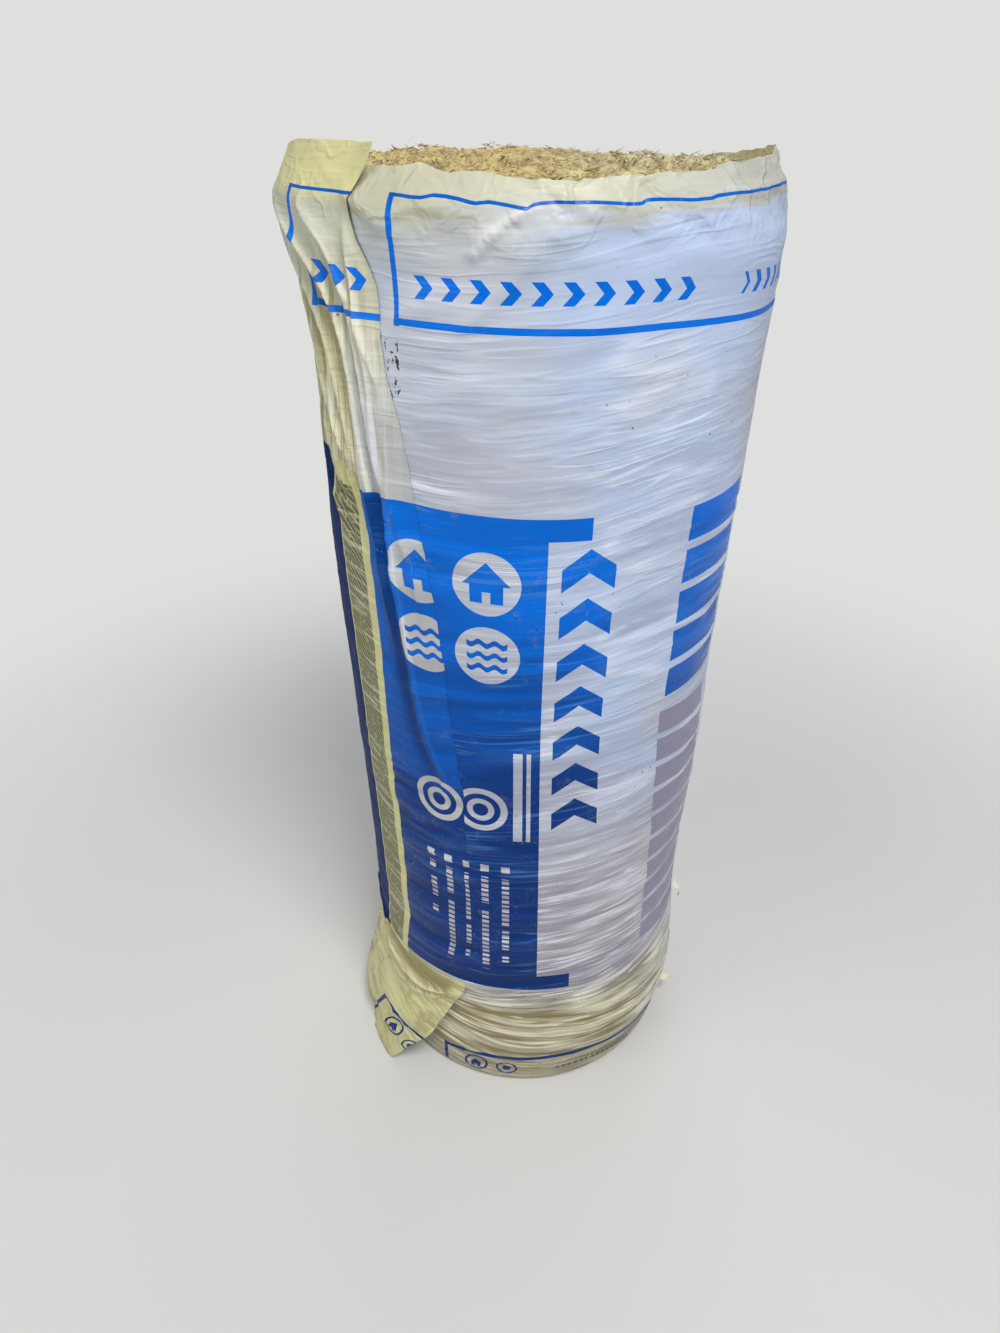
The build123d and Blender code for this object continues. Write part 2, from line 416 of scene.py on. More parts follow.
collar_top = smooth_line(
    [(-442, 1.150), (-405, 1.151), (-390, 1.1557), (-380, 1.1520), (-375, 1.1532),
     (-368, 1.1500), (-360, 1.1490), (-343, 1.1493), (-330, 1.1510), (-320, 1.1530),
     (-310, 1.1553), (-300, 1.1565), (-292, 1.1572), (-285, 1.1590), (-278, 1.1588),
     (-270, 1.1560), (-260, 1.1528), (-253, 1.1495), (-245, 1.1460), (-236, 1.1422),
     (-225, 1.1375), (-215, 1.1350), (-160, 1.1340), (-140, 1.1360),
     (-125, 1.1420), (-110, 1.1500), (-86, 1.1530), (-78, 1.1550), (-70, 1.1615),
     (-60, 1.1650), (-40, 1.1680), (-19, 1.1680)], 2.5)


class FilmGrid:
    """The film's points, with a row for each height and a column for each angle along it, and
    what is known of each: where it is, which part of the film it belongs to, its folds."""

    def __init__(self):
        angles = film_columns()
        fixed, collar = film_rows()
        ragged = 0.0016 * noise(angles * 0.16, 0.0, 0.0, 51)
        ragged = ragged + 0.0009 * noise(angles * 0.5, 4.0, 0.0, 52)
        tops = collar_top(angles) + ragged * (1 - 0.65 * ramp(angles, -110.0, -70.0))
        start = 2 * fixed[-1] - fixed[-2]
        upper = start + collar[:, None] * (tops[None, :] - start)
        level = np.concatenate([np.repeat(fixed[:, None], len(angles), 1), upper])
        angle = np.repeat(angles[None, :], len(level), 0)
        # The flap's columns fan out from its slanting free edge
        fan = np.clip((angle - FAN_START) / (FREE_EDGE - FAN_START), 0, 1)
        fanned = FAN_START + fan * (free_edge(level) - FAN_START)
        azimuth = np.where(angle > FAN_START, fanned, angle)
        self.level, self.angle, self.azimuth, self.body = level, angle, azimuth, facing(azimuth)

        # Shares of the loose flap, its outer layer and its tail, from 0 to 1
        self.on_flap = angle > FLAP_END
        self.flap = ramp(azimuth, -140.0, -88.0)
        self.outer = ramp(angle, FLAP_END, -110.0)
        self.tail = ramp(angle, -128.0, -80.0)
        self.drop = np.clip((WAIST - level) / 0.234, 0, 1.0)
        self.toward_edge = ramp(angle, -56.0, -22.0)

        self.swell = body_swell(azimuth, np.maximum(level, 0.0)) * ramp(level, 0.0, 0.03)
        self.stand = bulge_round(azimuth) * bulge_up(level)
        self.slack = np.clip(self.drop * 3.0 * self.tail + self.stand / 0.02, 0, 1)
        self.folds, self.sweeps = flap_folds(azimuth, level), tail_folds(azimuth, level)
        fold_line = np.interp(level, [0.575, 0.616, 0.678, 0.738, 0.809, 0.891, 1.0],
                              [-27.3, -31.9, -35.0, -36.9, -39.3, -40.1, -42.4])
        self.past_fold = fold_line + 0.4 - azimuth

        # Rays of the fine pleats, which fan out up and left from the flap's waist
        self.rays = (azimuth + 38.0) / np.clip(level - 0.70, 0.06, None)
        fans = ramp(-azimuth, 38.0, 46.0) * (1 - ramp(level, 1.05, 1.11))
        near_edge = 0.7 * bell(azimuth, -42.0, 5.0) * (1 - ramp(level, 1.0, 1.06))
        pleated = np.maximum(fans, near_edge) * ramp(level, 0.84, 0.90) * self.on_flap
        self.pleated = pleated * (1 - ramp(-azimuth, 95.0, 120.0))
        # The wrinkles' relief, with their painted shade and painted highlight, softened where the
        # fine pleats lie
        self.off, self.hollow_shade, self.crest = (
            part * (1 - 0.8 * self.pleated) for part in wrinkles(azimuth, np.clip(level, 0, 1.2)))


def wrapped_film(film):
    """Radius and height of the film where it lies on the wool and is turned under."""
    level, body = film.level, film.body
    quarter = math.pi / 2
    bend = np.clip((level - BEND_START) / (FOOT_RADIUS * quarter), 0, 1) * quarter
    bent = FILM_RADIUS - FOOT_RADIUS + FOOT_RADIUS * np.sin(bend)
    hem = FILM_RADIUS - FOOT_RADIUS + level - BEND_START
    radius = np.where(level < BEND_END, np.where(level < BEND_START, hem, bent),
                      wrap_profile(level))
    height = np.where(level < BEND_END, FLOOR_GAP + FOOT_RADIUS * (1 - np.cos(bend)), level)
    lean = 0.004 * ramp(level, 1.128, 1.165) * noise(film.angle * 0.05, 1.0, 0.0, 53)
    lean = lean + 0.0045 * ramp(level, 1.135, 1.157) * bell(body, 76.0, 20.0)
    lean = lean + 0.0100 * ramp(level, 1.128, 1.152) * bell(body, 112.0, 26.0)
    return radius + lean + film.swell, height


def loose_film(film):
    """Radius, height and azimuth of the loose end, which stands off at the top left and is
    flared into a tail at the floor."""
    level, angle, drop, toward_edge = film.level, film.angle, film.drop, film.toward_edge
    reach = np.interp(angle, [-126, -100, -75, -51, FREE_EDGE], [0.0, 0.30, 0.50, 0.82, 1.0])
    flare_edge = np.interp(drop, [0, 0.25, 0.5, 0.75, 1.0], [0, 0.0086, 0.0203, 0.0348, 0.0515])
    flare_left = np.interp(
        drop, [0, 0.36, 0.46, 0.59, 0.66, 0.74, 0.784, 0.83, 0.87, 1.0],
        [0, 0.0008, 0.0080, 0.0250, 0.0330, 0.0385, 0.0425, 0.0330, 0.0300, 0.0310])
    flare = flare_left + toward_edge * (flare_edge - flare_left)
    hang = 0.006 * noise(angle * 0.07, level * 9.0, 0.0, 61) * drop * (1 - toward_edge)
    crumpled = 0.0036 * (ridges(angle * 0.10, level * 30.0, 0.0, 62, 1.6) - 0.4)
    crumpled = crumpled + 0.0016 * noise(angle * 0.35, level * 75.0, 0.0, 63)
    radius = FILM_RADIUS + film.swell + film.stand - 0.34 * np.clip(level - 1.127, 0, None)
    radius = radius + film.folds + flare * reach + film.sweeps * film.tail
    radius = radius + hang + crumpled * ramp(drop, 0.1, 0.3)
    height = np.where(level < WAIST, 0.0008 + 0.2027 * (1 - drop) ** 1.04, level)
    swing = (-2.9 * ramp(level, 0.30, WAIST) - 24.0 * drop) * reach * (level < 0.3035)
    rounded = (1.1 * bell(level, 0.165, 0.045) + 1.9 * bell(level, 0.080, 0.042)) * toward_edge
    return radius, height, film.azimuth + (swing + rounded) * film.tail


def film_points(film):
    """The film as one surface, from its wrapped part and its loose end, with its wrinkles."""
    level, azimuth, angle = film.level, film.azimuth, film.angle
    wrap_radius, wrap_height = wrapped_film(film)
    loose_radius, loose_height, turned = loose_film(film)
    above = film.flap + (film.tail - film.flap) * (1 - ramp(level, 0.18, 0.32))
    mix = np.where(level < WAIST, film.tail, above)
    radius = wrap_radius + (loose_radius - wrap_radius) * mix
    up = wrap_height + (loose_height - wrap_height) * mix
    # In the tail and the bulge the pull is off the film, and its wrinkles are softer
    left_side = 1 - 0.5 * ramp(-azimuth, 44.0, 60.0) * (angle > -150)
    radius = radius + film.off * (1 - 0.8 * film.slack) * left_side * ramp(up, 0.0, 0.012)
    inward = free_edge(level) - azimuth
    loose = mix * ramp(inward, 0.5, 6.0) * (angle > -200)
    radius = radius + collar_creases(azimuth, level) * (1 - 0.80 * loose)
    # The two layers lie close together at the free edge, and part further in
    inner = (1 - ramp(angle, -410.0, -385.0)) * (0.0003 + 0.0014 * ramp(inward - 360.0, 0.8, 5.0))
    pressed = bell(inward - 360.0 * (angle < -200), -3.6, 2.6) * ramp(level, 0.96, 1.02)
    radius = radius + 0.0003 * film.outer - inner - 0.0010 * pressed * (1 - film.outer)
    # The free edge waves, and lifts a little at the top
    edge = bell(angle, FREE_EDGE, 2.2)
    lift = 0.0003 * ramp(level, 0.93, 1.05) * (1 + noise(level * 19.0, 2.0, 0.0, 71))
    turned = turned + 0.28 * edge * noise(level * 31.0, 5.0, 0.0, 72)
    east, south = plan(turned, radius + edge * lift)
    return np.stack([east, -south, up], -1)


def print_place(film):
    """Where each point lies on the print: metres along the film, and up its width."""
    level, azimuth, angle, body = film.level, film.azimuth, film.angle, film.body
    # The flap's print is drawn round by its folds, and the long fold hides a little of it
    hidden = np.interp(level, [0.5, 0.60, 0.73, 0.86, 0.93, 1.0], [0, 1.0, 3.6, 4.8, 4.8, 0.0])
    shift = print_shift(level) * ramp(angle, -118.0, -70.0)
    shift = shift - hidden * ramp(film.past_fold, 0.0, 0.8) * (angle > -110)
    stretched = stretch(level) * ramp(body, -25.0, 42.0) * (1 - ramp(body, 85.0, 150.0))
    along = np.where(film.on_flap, azimuth + shift, angle - stretched)
    up = level + dip_right(body) * (1 - ramp(level, 1.09, 1.13))
    up = up - dip_foot(body) * (1 - ramp(level, 0.07, 0.14)) * ~film.on_flap
    up = up - 0.0110 * bell(level, 0.062, 0.034) * ramp(angle, -80.0, -45.0) * film.outer
    up = up + 0.010 * bell(level, 0.200, 0.030) * ramp(-azimuth, 30.0, 60.0) * film.outer
    rim = dip_rim(body) + 0.0007 * noise(angle * 0.22, 1.0, 0.0, 73)
    up = up + rim * ramp(level, 1.095, 1.125) * (1 - film.outer)
    return np.radians(along + 360.0) * FILM_RADIUS, up


def film_numbers(film):
    """What the material reads at each point: from 0 to 1 where the film shows cream, the painted
    shade of its hollows, the painted highlight of its crests and where it lies double, and how its
    wrinkles and pleats run."""
    level, azimuth, angle, body = film.level, film.azimuth, film.angle, film.body
    drop, tail, past_fold = film.drop, film.tail, film.past_fold
    pleat = film.folds * film.on_flap
    torn = 0.05 * noise(angle * 0.06, level * 34.0, 0.0, 85)
    torn = torn + 0.03 * noise(angle * 0.2, level * 90.0, 0.0, 86)
    low_end = level + torn - 0.0011 * np.clip(-azimuth - 62.0, 0, 60)
    side = ramp(-azimuth, 43.0, 52.0) * ramp(angle + 300.0 * torn, -150, -112)
    side = side * ramp(low_end, 0.80, 0.93) * (1 - 0.45 * ramp(level, 1.02, 1.10))
    # Painted light on the collar's shaded inside at the back right, given as cream and as
    # highlight
    back_rim_light = ramp(level, 1.130, 1.139) * ramp(body, 78.0, 90.0) * (1 - ramp(body, 140.0, 170.0))
    on_left = ramp(angle, -120, -75)
    # Painted shade in the hollow between the tail's ridge and the print above it, as darker tan
    sling = 0.190 + 0.022 * ramp(-azimuth, 48.0, 70.0)
    above_tail_shade = bell(level, sling, 0.024) * tail * (1 - ramp(angle, -26.0, -21.0))
    # Painted highlight along the crests of the tail's folds, which also takes the painted shade
    # off them
    tail_fold_highlight = ramp(film.sweeps, 0.0036, 0.0068) * tail

    # Where the film shows cream: free of the wool, at the collar, and at the foot. It is the
    # film's yellowish tone where it stands free, with painted light shining through it; low down
    # it is painted warm floor light.
    clouds = 0.5 + 0.5 * noise(angle * 0.09, level * 40.0, 0.0, 81)
    streaky = 0.8 + 0.2 * noise(angle * 0.2, level * 20, 0.0, 82)
    cream = highest(
        (0.32 - 0.20 * ramp(body, -10, 40)) * ramp(level, 1.125, 1.141) * (0.4 + 0.8 * clouds),
        0.34 * ramp(level, 1.07, 1.13) * (1 - ramp(body, -30, 20)),
        0.9 * back_rim_light,
        0.95 * on_left * ramp(level, 1.115, 1.14),
        0.42 * on_left * ramp(level, 0.93, 1.05),
        0.95 * side * streaky,
        0.97 * ramp(level, 0.219, 0.205) * tail,
        # Painted warm floor light, as cream low on the roll
        0.58 * ramp(level, 0.240, 0.15) * (1 - 0.35 * ramp(body, 20, 60)),
        above_tail_shade)

    # Painted shade in the hollows, strongest near the foot, and a painted shadow that darkens
    # the print left of the long fold
    steps = [0.0, 0.03, 0.12, 0.20, 0.26, 0.45, 0.8, 1.0, 1.08, 1.13, 1.2]
    depth = np.interp(level, steps, [0.8, 1.0, 1.0, 1.0, 0.85, 0.62, 0.40, 0.32, 0.18, 0.2, 0.1])
    bright = np.interp(level, steps, [0.3, 0.8, 1.0, 1.0, 0.85, 0.70, 0.55, 0.50, 0.35, 0.2, 0.1])
    # Painted shade between the flap's fine pleats
    between = (1 - ramp(pleat, 0.0004, 0.0036)) * side * ramp(level, 0.84, 0.90)
    between = between * (1 - ramp(level, 1.04, 1.10)) * (0.6 + 0.4 * ramp(-azimuth, 50.0, 56.0))
    between = between * (1 - 0.65 * ramp(-azimuth, 76.0, 104.0))
    # Painted shadow left of the long fold, and a painted highlight along its crest
    beyond = np.interp(level, [0.50, 0.60, 0.70, 0.885, 0.90], [0, 0.8, 1.0, 1.0, 0])
    beyond = beyond * (angle > -110)
    fold_shadow = beyond * ramp(past_fold, 0.0, 0.9) * (1 - 0.75 * ramp(past_fold, 4.0, 9.0))
    # Painted shade in uneven dents on the tail
    dent_shade = noise(angle * 0.13, level * 22.0, 0.0, 84)
    dent_shade = dent_shade + 0.6 * noise(angle * 0.37, level * 61.0, 0.0, 87)
    dent_shade = ramp(dent_shade, 0.05, 0.95) * ramp(drop, 0.12, 0.35) * tail
    pulled = 1 - film.slack
    hollow_shade = highest(film.hollow_shade * depth * pulled, 0.85 * between, 0.95 * fold_shadow,
                     (0.30 + 0.35 * drop) * dent_shade, above_tail_shade)
    # Painted highlights on the wrinkles' crests, the tail's folds, the flap's fold crests, the
    # back rim and the short rim fold
    crest = highest(
        film.crest * bright * pulled,
        0.7 * tail_fold_highlight,
        0.8 * ramp(pleat, 0.0038, 0.0060) * ramp(level, 0.88, 0.93),
        0.8 * beyond * bell(past_fold, -0.9, 0.5),
        0.9 * back_rim_light,
        0.9 * rim_fold(body, level, 0.0028) * (1 - film.outer))
    return {
        "cream": cream, "hollow_shade": hollow_shade * (1 - 0.9 * tail_fold_highlight), "crest": crest,
        "layer": ramp(angle, -100.0, -60.0) * (1 - side),
        "lie": wrinkle_level(azimuth, level), "rays": film.rays, "pleated": film.pleated}


def sheet_faces(rows, columns):
    """Four-cornered faces of a grid of points, facing away from the roll's axis."""
    index = np.arange(rows * columns).reshape(rows, columns)
    corners = index[:-1, :-1], index[1:, :-1], index[1:, 1:], index[:-1, 1:]
    return np.stack(corners, -1).reshape(-1, 4)


def piece(name, points, faces, material, slot):
    """A visible piece of the roll, unturned and unscaled, which rides on its only body."""
    mesh = bpy.data.meshes.new(name)
    mesh.from_pydata(np.reshape(points, (-1, 3)).tolist(), [], [list(face) for face in faces])
    mesh.validate()
    mesh.polygons.foreach_set("use_smooth", [True] * len(mesh.polygons))
    mesh.update()
    mesh.materials.append(material)
    made = bpy.data.objects.new(name, mesh)
    bpy.context.scene.collection.objects.link(made)
    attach(made, "root")
    return made


def point_numbers(made, name, numbers):
    """Stores one number for each point of the mesh, for the material to read."""
    attribute = made.data.attributes.new(name, "FLOAT", "POINT")
    attribute.data.foreach_set("value", np.asarray(numbers, np.float32).ravel())


def print_map(made, across, up):
    """The mesh's own UV map, in metres along the film and up its width."""
    layer = made.data.uv_layers.new(name="print")
    corner = np.zeros(len(made.data.loops), np.int32)
    made.data.loops.foreach_get("vertex_index", corner)
    pairs = np.stack([np.ravel(across)[corner], np.ravel(up)[corner]], -1)
    layer.data.foreach_set("uv", pairs.astype(np.float32).ravel())


# Materials: sums on values that change over a surface, written as plain sums
def node_sum(operation, turned=False):
    """A method that adds a Math node. Turned, the value itself comes last."""
    def act(self, *others):
        values = (*others, self) if turned else (self, *others)
        settings = {"operation": operation}
        return self.nodes.add("ShaderNodeMath", settings, dict(enumerate(values)))
    return act


class Value:
    """An output of a node. Sums on it add Math nodes."""

    __add__ = __radd__ = node_sum("ADD")
    __mul__ = __rmul__ = node_sum("MULTIPLY")
    __sub__, __rsub__ = node_sum("SUBTRACT"), node_sum("SUBTRACT", turned=True)
    __truediv__ = node_sum("DIVIDE")
    __mod__ = node_sum("FLOORED_MODULO")
    __gt__, __lt__ = node_sum("GREATER_THAN"), node_sum("LESS_THAN")
    __or__, __and__ = node_sum("MAXIMUM"), node_sum("MINIMUM")
    __abs__, sine = node_sum("ABSOLUTE"), node_sum("SINE")

    def __init__(self, nodes, socket):
        self.nodes = nodes
        self.socket = socket

    def between(self, low, high):
        return (self > low) * (self < high)

    def fade(self, start, end):
        """0 at start and 1 at end, smooth between."""
        return self.nodes.add("ShaderNodeMapRange", {"interpolation_type": "SMOOTHSTEP"},
                              {"Value": self, "From Min": start, "From Max": end})

    def crease(self, narrow):
        """1 where the value is a half, falling off to both sides, faster when narrow."""
        return (1 - abs(self - 0.5) * narrow).fade(0.0, 1.0)


def opaque(colour):
    """A plain colour as four numbers. A value stays as it is."""
    return colour if isinstance(colour, Value) else (*colour[:3], 1.0)


class Nodes:
    """The node tree of one material."""

    def __init__(self, name):
        self.material = bpy.data.materials.new(name)
        self.material.use_nodes = True
        self.tree = self.material.node_tree
        self.surface = self.tree.nodes["Principled BSDF"]

    def put(self, socket, value):
        """Links a value to a socket, or sets the socket to a constant."""
        if isinstance(value, Value):
            self.tree.links.new(value.socket, socket)
        else:
            socket.default_value = value

    def add(self, kind, settings=None, inputs=None, output=0):
        """Adds a node: its settings first, then the values or links of its sockets."""
        node = self.tree.nodes.new(kind)
        for setting, value in (settings or {}).items():
            setattr(node, setting, value)
        for key, value in (inputs or {}).items():
            self.put(node.inputs[key], value)
        return Value(self, node.outputs[output])

    def place_on_object(self):
        return self.add("ShaderNodeTexCoord", output=3)

    def parts(self, vector):
        """The three numbers of a vector."""
        node = self.add("ShaderNodeSeparateXYZ", inputs={0: vector}).socket.node
        return [Value(self, output) for output in node.outputs]

    def mix(self, share, first, second):
        """A colour between two, which may be values or plain colours."""
        inputs = {0: share, 6: opaque(first), 7: opaque(second)}
        return self.add("ShaderNodeMix", {"data_type": "RGBA"}, inputs, 2)

    def coated(self, colour, *coats):
        """A colour with coats over it, each a share and a colour."""
        for share, coat in coats:
            colour = self.mix(share, colour, coat)
        return colour

    def scaled(self, vector, across, up, deep=1.0):
        return self.add("ShaderNodeVectorMath", {"operation": "MULTIPLY"},
                        {0: vector, 1: (across, up, deep)})

    def texture(self, vector, scale, detail=2.0, rough=0.5, warp=0.0):
        return self.add("ShaderNodeTexNoise", inputs={
            "Vector": vector, "Scale": scale, "Detail": detail, "Roughness": rough,
            "Distortion": warp})

    def relief(self, strength, distance, height):
        return self.add("ShaderNodeBump", inputs={
            "Strength": strength, "Distance": distance, "Height": height})

    def finish(self, **sockets):
        """Sets or links the surface's sockets, named with _ for a space."""
        for key, value in sockets.items():
            self.put(self.surface.inputs[key.replace("_", " ")], value)
        return self.material


# The print. Every mask is 1 inside its shape, and x and y are metres on the film.
def box_mask(x, y, left, right, low, high):
    return x.between(left, right) * y.between(low, high)


def disc_mask(x, y, middle_x, middle_y, radius):
    across, up = x - middle_x, y - middle_y
    return (across * across + up * up) < radius * radius


def ring_mask(x, y, middle_x, middle_y, outer, inner):
    across, up = x - middle_x, y - middle_y
    square = across * across + up * up
    return square.between(inner * inner, outer * outer)


def house_mask(x, y, middle_x, base, size):
    """A house: a square with a pitched roof over it."""
    across = abs(x - middle_x)
    walls = (across < size * 0.36) * y.between(base, base + size * 0.45)
    roof = ((across + (y - (base + size * 0.42))) < size * 0.52) * (y > base + size * 0.42)
    door = (across < size * 0.09) * y.between(base, base + size * 0.26)
    return (walls | roof) * (1 - door)


def waves_mask(x, y, left, right, low, high, count):
    """Level waves, one over another."""
    gap = (high - low) / count
    swing = ((x - left) * (2 * math.pi / ((right - left) / 2.5))).sine() * (gap * 0.16)
    in_gap = ((y - low + swing) % gap) / gap
    return in_gap.between(0.28, 0.72) * box_mask(x, y, left, right, low, high)


def slant_blocks(x, y, left, right, low, high, pitch, filled, slant):
    """A column of slanting bars, with the gaps between them bare."""
    place = ((y - low - (x - left) * slant) % pitch) / pitch
    leaning = y - (x - left) * slant
    return (place < filled) * x.between(left, right) * leaning.between(low, high)


def dashes(nodes, x, y, left, right, low, high, length, seed):
    """Bars broken into dashes of uneven length, as a plain rule pattern."""
    spaces = nodes.add("ShaderNodeTexNoise", {"noise_dimensions": "1D"},
                       {"W": y / (length * 3.0) + seed, "Scale": 1.0, "Detail": 1.0})
    marks = (y / length) % 1.0 < 0.66
    return marks * (spaces > 0.40) * box_mask(x, y, left, right, low, high)


# Places on the print: azimuths where its parts begin and end, and the levels of the panel
# and of the strips beside it
DARK_LEFT, STRIP_LEFT, PANEL_LEFT, PANEL_RIGHT, RULES_RIGHT = -66.0, -48.5, -33.6, 1.4, 11.5
PANEL_LOW, PANEL_HIGH = 0.218, 0.891
STRIP_LOW, STRIP_HIGH = 0.205, 0.905


class FilmNodes(Nodes):
    """The material of the printed film."""

    def __init__(self, colours):
        super().__init__("printed_film")
        self.colours = colours
        self.objects = self.place_on_object()
        self.on_film = self.add("ShaderNodeUVMap", {"uv_map": "print"})
        along, self.y, _ = self.parts(self.on_film)
        self.x = (along - at(DARK_LEFT)) % PRINT_REPEAT + at(DARK_LEFT)
        self.cream, self.hollow_shade, self.crest, self.layer, self.lie, self.rays, self.pleated = (
            self.add("ShaderNodeAttribute", {"attribute_name": name}, output=2)
            for name in ("cream", "hollow_shade", "crest", "layer", "lie", "rays", "pleated"))
        self.streaks = self.texture(self.scaled(self.on_film, 7.0, 95.0), 1.0, 3.0, 0.6)
        # Fine wrinkles, also painted as shade and highlight on their two sides, and thin streaks
        # of painted highlight (glints) that follow the film's own wrinkles
        self.run = self.add("ShaderNodeCombineXYZ", inputs={0: along, 1: self.lie})
        self.fine_wrinkle = self.along_run(13.0, 175.0, 1.5, 0.6)
        low_down = (self.y.fade(0.70, 0.20) | self.y.fade(1.07, 0.98) * 0.24) * (self.layer < 0.5)
        self.low_down = low_down | self.y.fade(0.62, 0.18) * 0.4
        glint_streak = self.along_run(4.6, 84.0, 1.0, 0.5).crease(26.0)
        glint_streak = glint_streak * self.along_run(6.0, 15.0, 1.0, 0.5).fade(0.49, 0.60)
        self.glint_streak = glint_streak * self.y.fade(1.07, 1.0) * (1 - (self.layer > 0.5) * 0.7)
        fanned = self.add("ShaderNodeCombineXYZ", inputs={0: self.rays, 1: self.y})
        self.pleat = self.texture(self.scaled(fanned, 0.20, 5.0), 1.0, 2.0, 0.55, 0.15)

    def along_run(self, across, up, detail, rough):
        """Noise that is drawn out along the wrinkles."""
        return self.texture(self.scaled(self.run, across, up), 1.0, detail, rough)

    def boxes(self, *places):
        """A mask of boxes, each given by its left and right azimuth, its foot and its top."""
        return reduce(or_, [box_mask(self.x, self.y, at(left), at(right), low, high)
                            for left, right, low, high in places])

    def panel(self):
        """The large panel, with what is left bare in it, and the rules that run on from it."""
        x, y = self.x, self.y
        badge, coil = at(-13.2), at(-15.5)
        badges = disc_mask(x, y, badge, 0.822, 0.0335) | disc_mask(x, y, badge, 0.742, 0.0335)
        marks = house_mask(x, y, badge, 0.802, 0.046)
        marks = marks | waves_mask(x, y, badge - 0.021, badge + 0.021, 0.721, 0.763, 3)
        coils = ring_mask(x, y, coil, 0.535, 0.031, 0.023)
        coils = coils | ring_mask(x, y, coil, 0.535, 0.016, 0.009)
        stripes = self.boxes((-6.0, -3.4, 0.492, 0.622), (-2.3, -1.1, 0.492, 0.622))
        columns = []
        for number, (azimuth, foot) in enumerate([(-20.5, 0.335), (-14.4, 0.252), (-8.2, 0.272)]):
            middle = at(azimuth)
            bullet = box_mask(x, y, middle - 0.005, middle + 0.005, 0.438, 0.449)
            columns.append(bullet | dashes(self, x, y, middle - 0.0042, middle + 0.0042,
                                           foot, 0.428, 0.0082, 7.3 * number))
        bare = badges * (1 - marks) | coils | stripes | reduce(or_, columns)
        rules = self.boxes((PANEL_RIGHT, RULES_RIGHT, 0.869, PANEL_HIGH),
                           (PANEL_RIGHT, RULES_RIGHT, PANEL_LOW, 0.244))
        panel = self.boxes((PANEL_LEFT, PANEL_RIGHT, PANEL_LOW, PANEL_HIGH))
        return rules | panel * (1 - bare)

    def top_frame(self):
        """The frame under the rim, with its row of chevrons."""
        lines = self.boxes((-32.0, 96.0, 1.0445, 1.0500), (-32.0, 96.0, 1.1335, 1.1358),
                           (-33.4, -32.0, 1.0435, 1.1360))
        row = self.y - 1.0745
        start = self.x + abs(row) * 0.9 - at(-26.0)
        in_row = start.between(0.0, 0.2350) | start.between(at(73.4), at(73.4) + 0.1880)
        chevrons = (start % 0.0235 < 0.0092) * (abs(row) < 0.0085) * in_row
        return lines | chevrons * (1 - (self.layer > 0.5) * (start > 0.060))

    def foot_frame(self):
        """The frame at the foot, with its round marks and rows of dashes."""
        x, y = self.x, self.y
        lines = self.boxes((-31.0, 98.0, 0.0438, 0.0502), (-31.6, -30.0, -0.05, 0.0502))
        house = ring_mask(x, y, at(-18.5), 0.0235, 0.0172, 0.0136)
        house = house | house_mask(x, y, at(-18.5), 0.0140, 0.0190)
        disc = ring_mask(x, y, at(-7.6), 0.0220, 0.0142, 0.0114)
        disc = disc | disc_mask(x, y, at(-7.6), 0.0220, 0.0056)
        rows = dashes(self, y, x, 0.0290, 0.0325, at(10.0), at(46.0), 0.0060, 3.0)
        rows = rows | dashes(self, y, x, 0.0150, 0.0215, at(8.0), at(42.0), 0.0085, 5.0)
        return lines | house | disc | rows * 0.65

    def arrows_and_blocks(self):
        """The column of arrowheads right of the panel, and the blocks beyond it."""
        arrow = self.y + abs(self.x - at(11.5)) * 0.75
        arrows = (((arrow - 0.530) % 0.051) < 0.0245) * arrow.between(0.530, 0.861)
        arrows = arrows * self.x.between(at(4.8), at(18.3))
        return arrows | slant_blocks(self.x, self.y, at(39.8), at(68.0), 0.663, 0.8890,
                                     0.0460, 0.80, 0.03)

    def bare_film(self, strip):
        """Colour of the film under the print."""
        colours, x, y, layer = self.colours, self.x, self.y, self.layer
        cloud = self.texture(self.objects, 9.0, 3.0)
        right_side = x.fade(at(-22.0), at(14.0)) * x.fade(at(104.0), at(78.0)) * (1 - layer)
        # Painted cool light on the roll's right side, above its lower part
        right_cool_light = right_side * y.fade(0.42, 0.62) * y.fade(1.16, 1.12) * cloud.fade(0.22, 0.60)
        edge = y + (cloud - 0.5) * 0.035 + (self.streaks - 0.5) * 0.05
        warm = (self.cream * 1.9) & 1.0
        hollow_shade_colour = self.mix(warm, colours.hollow_shade, colours.cream_hollow_shade)
        # Painted highlight colour for the crests and glints, plain and where the film is cream
        stretched = self.mix(warm, colours.crest, colours.crest_low)
